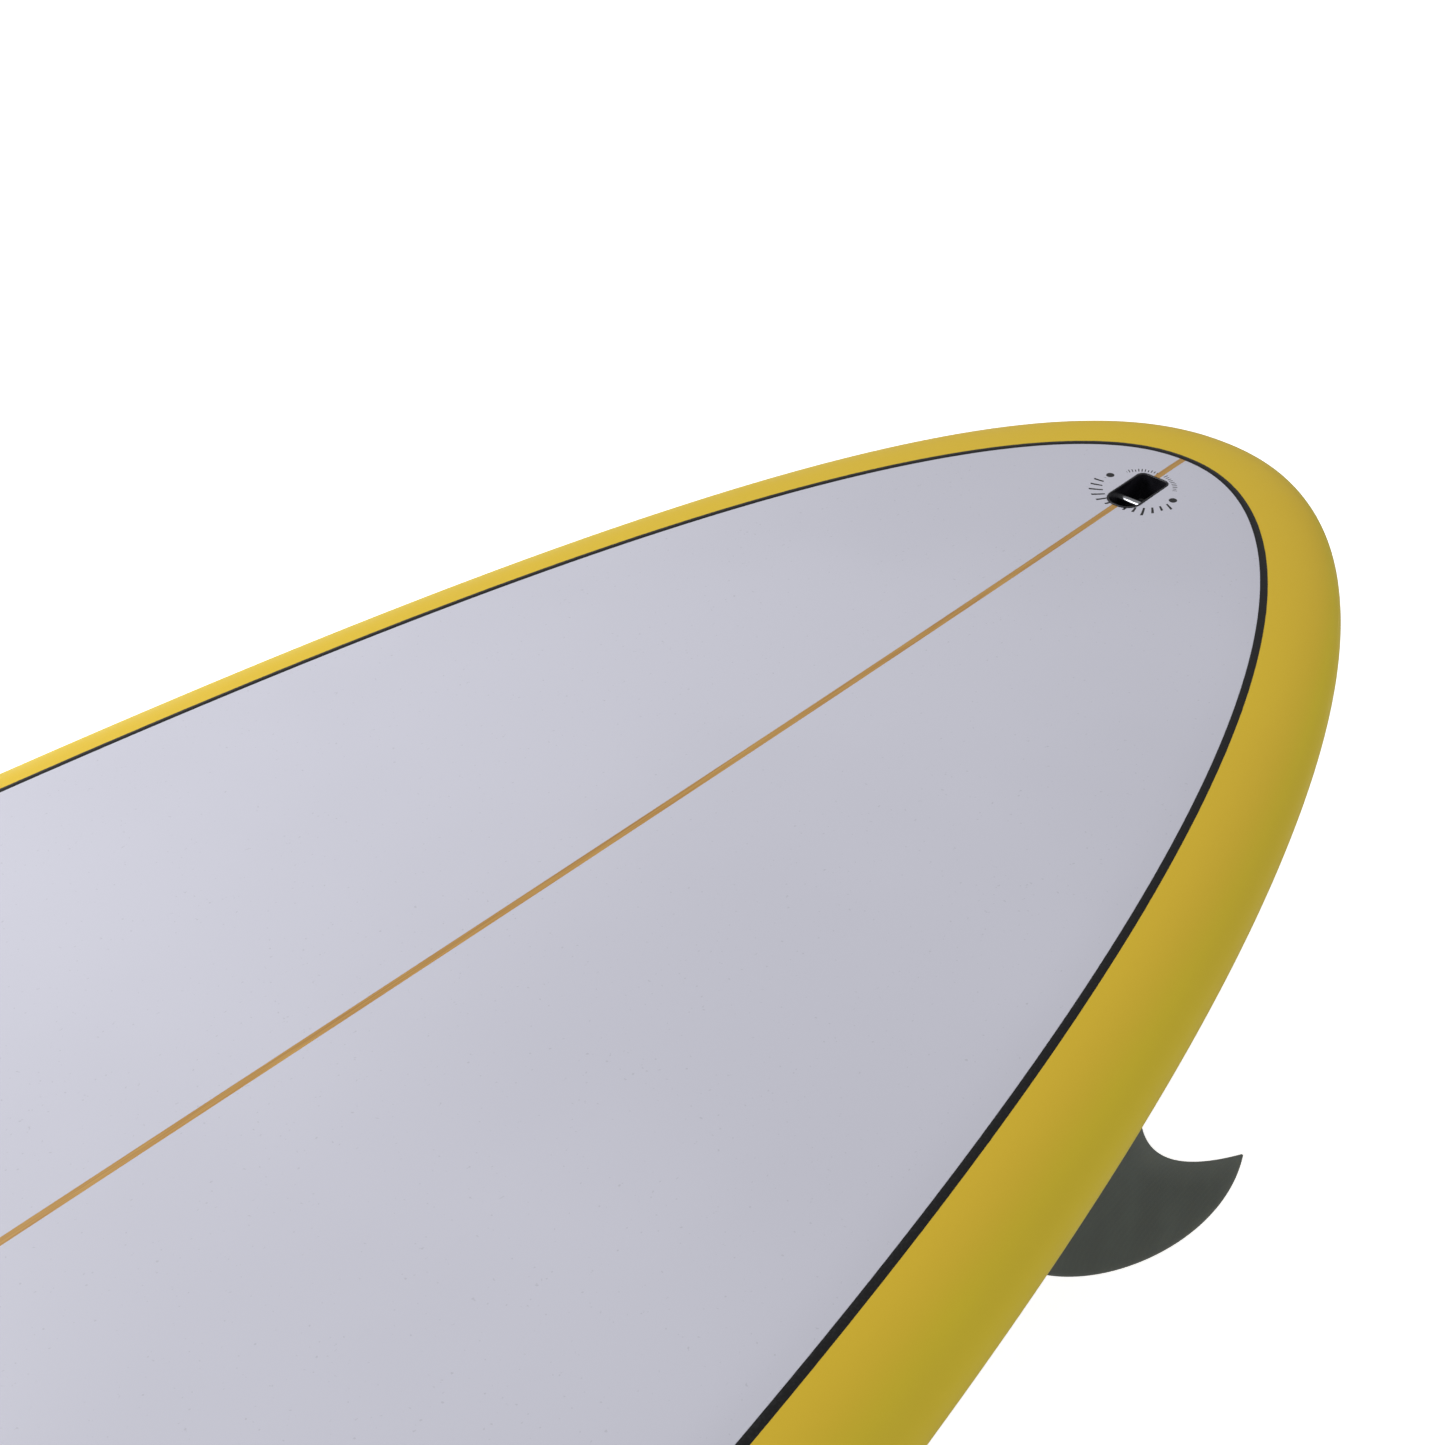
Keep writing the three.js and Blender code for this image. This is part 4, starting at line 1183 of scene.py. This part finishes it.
# ---------------------------------------------------------------- stage
@dataclass(frozen=True)
class Softbox:
    """An area light that looks at a point."""

    name: str
    at: tuple[float, float, float]
    look: tuple[float, float, float]
    size: tuple[float, float]
    power: float
    tint: str = "FFFFFF"

    def make(self) -> None:
        """Adds the light."""
        light = bpy.data.lights.new(self.name, "AREA")
        light.shape, light.size, light.size_y = "RECTANGLE", self.size[0], self.size[1]
        light.energy = self.power
        light.color = linear(self.tint)[:3]
        obj = bpy.data.objects.new(self.name, light)
        obj.location = self.at
        way = Vector(self.look) - Vector(self.at)
        obj.rotation_mode = "QUATERNION"
        obj.rotation_quaternion = way.to_track_quat("-Z", "Y")
        bpy.context.scene.collection.objects.link(obj)


@dataclass
class Studio:
    """Pale floor, soft lights, bright surroundings and the camera."""

    lights: tuple[Softbox, ...] = (
        Softbox("key", (-0.35, -1.05, 1.25), (-0.8, 0.0, 0.2), (1.1, 0.8), 17.5),
        Softbox("fill", (-1.2, 2.2, 1.2), (-0.9, 0.1, 0.2), (2.0, 1.2), 6.0),
    )
    overhead: float = 0.40
    horizon: float = 0.34

    def floor(self) -> None:
        """A plain pale floor, seen only from above."""
        size = 30.0
        corners = np.array([[-size, -size, 0], [size, -size, 0], [size, size, 0], [-size, size, 0]], float)
        obj = make_object("studio_floor", corners, np.array([[0, 1, 2, 3]]))
        g = Graph(bpy.data.materials.new("pale_studio_paper"))
        grain = g.ramp(g.noise(2.0, 2), 0.3, 0.7)
        paper = g.add("ShaderNodeBsdfDiffuse", {"Color": g.mix(grain, linear("F2F2F2"), linear("F5F5F5"))})
        seen = g.add("ShaderNodeLightPath").outputs["Is Camera Ray"]
        strength = g.math("MULTIPLY", seen, 0.75)
        glow = g.add("ShaderNodeEmission", {"Color": linear("FFFFFF"), "Strength": strength})
        sheet = g.add("ShaderNodeAddShader", {0: paper.outputs[0], 1: glow.outputs[0]})
        clear = g.add("ShaderNodeBsdfTransparent")
        back = g.add("ShaderNodeNewGeometry").outputs["Backfacing"]
        both = g.add("ShaderNodeMixShader", {0: back, 1: sheet.outputs[0], 2: clear.outputs[0]})
        g.add("ShaderNodeOutputMaterial", {"Surface": both.outputs[0]})
        obj.data.materials.append(g.material)

    def world(self) -> None:
        """White surroundings, brighter overhead than at the horizon."""
        world = bpy.data.worlds.new("studio")
        g = Graph(world)
        up = g.add("ShaderNodeSeparateXYZ", {0: g.add("ShaderNodeTexCoord").outputs["Generated"]}).outputs[2]
        light = g.ramp(up, -0.1, 0.9, self.horizon, self.overhead)
        seen = g.add("ShaderNodeLightPath").outputs["Is Camera Ray"]
        strength = g.math("MAXIMUM", seen, light)
        background = g.add("ShaderNodeBackground", {"Color": linear("FFFFFF"), "Strength": strength})
        g.add("ShaderNodeOutputWorld", {"Surface": background.outputs[0]})
        bpy.context.scene.world = world

    def camera(self) -> None:
        """High three-quarter view over the tail from the rider's left."""
        data = bpy.data.cameras.new("camera")
        data.lens, data.sensor_width, data.sensor_fit = 58.71, 36.0, "HORIZONTAL"
        data.clip_start, data.clip_end = 0.05, 200.0
        obj = bpy.data.objects.new("camera", data)
        right = Vector((-0.690202, 0.722925, -0.031639))
        up = Vector((-0.445515, -0.390082, 0.805824))
        ahead = Vector((-0.570208, -0.570277, -0.59131))
        turn = Matrix((right, up, -ahead)).transposed().to_4x4()
        obj.matrix_world = Matrix.Translation((-0.478874, 0.535988, 0.795578)) @ turn
        bpy.context.scene.collection.objects.link(obj)
        bpy.context.scene.camera = obj

    def build(self) -> None:
        """Makes it all."""
        self.floor()
        self.world()
        self.camera()
        for light in self.lights:
            light.make()
        view = bpy.context.scene.view_settings
        view.view_transform, view.look = "Standard", "None"
        view.exposure, view.gamma = 0.0, 1.0


# ---------------------------------------------------------------- whole board
KEPT_NODES = {
    "foam_core_left": Finish.FOAM,
    "foam_core_right": Finish.FOAM,
    "center_fin_roll_pin": Finish.BRASS,
    "center_fin_plate_nut": Finish.STEEL,
    "side_fin_set_screw_left": Finish.STEEL,
    "side_fin_set_screw_right": Finish.STEEL,
}


@dataclass
class Longboard:
    """All of the board's visual pieces."""

    plug: LeashPlug = field(default_factory=LeashPlug)
    center: CenterFin = field(default_factory=CenterFin)
    left: SideFin = field(default_factory=lambda: SideFin("left", 1.0))
    right: SideFin = field(default_factory=lambda: SideFin("right", -1.0))

    def build(self) -> list[Piece]:
        """Makes every piece and settles it on its body.

        Returns:
            The finished pieces.
        """
        sides = (self.left, self.right)
        fin_rooms = tuple(fin.room() for fin in sides)
        cutters = RoomCutters(self.plug.room(), self.center.room(), fin_rooms, belly_block())
        skins = Skins(cutters)
        pieces = [
            skins.deck("deck_glass_left", 1.0, ("deck_skin_left", "tail_patch_left")),
            skins.deck("deck_glass_right", -1.0, ("deck_skin_right", "tail_patch_right")),
            skins.belly("belly_glass_left", 1.0, "belly_skin_left"),
            skins.belly("belly_glass_right", -1.0, "belly_skin_right"),
            skins.rail(),
            skins.pinline(),
            skins.stringer(),
        ]
        pieces += self.plug.pieces() + self.center.pieces(cutters.hull)
        for fin in sides:
            pieces += fin.pieces(cutters.hull)
        cutters.remove()
        for piece in pieces:
            piece.settle()
        return pieces


def wear_node(obj: bpy.types.Object, finish: Finish) -> None:
    """A better material on a CAD node that keeps its shape."""
    if obj.material_slots:
        for slot in obj.material_slots:
            slot.material = material(finish)
    LOG.info("%s keeps its shape in %s", obj.name, MATERIAL_NAMES[finish])


def main(frame: dict) -> None:
    """Builds the board and the studio.
    """
    logging.basicConfig(level=logging.INFO, format="%(message)s")
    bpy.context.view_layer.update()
    pieces = Longboard().build()
    for name, finish in KEPT_NODES.items():
        wear_node(frame["nodes"][name], finish)
    Studio().build()
    LOG.info("%d new pieces, %d kept nodes", len(pieces), len(KEPT_NODES))


if __name__ == "__main__":
    main(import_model())
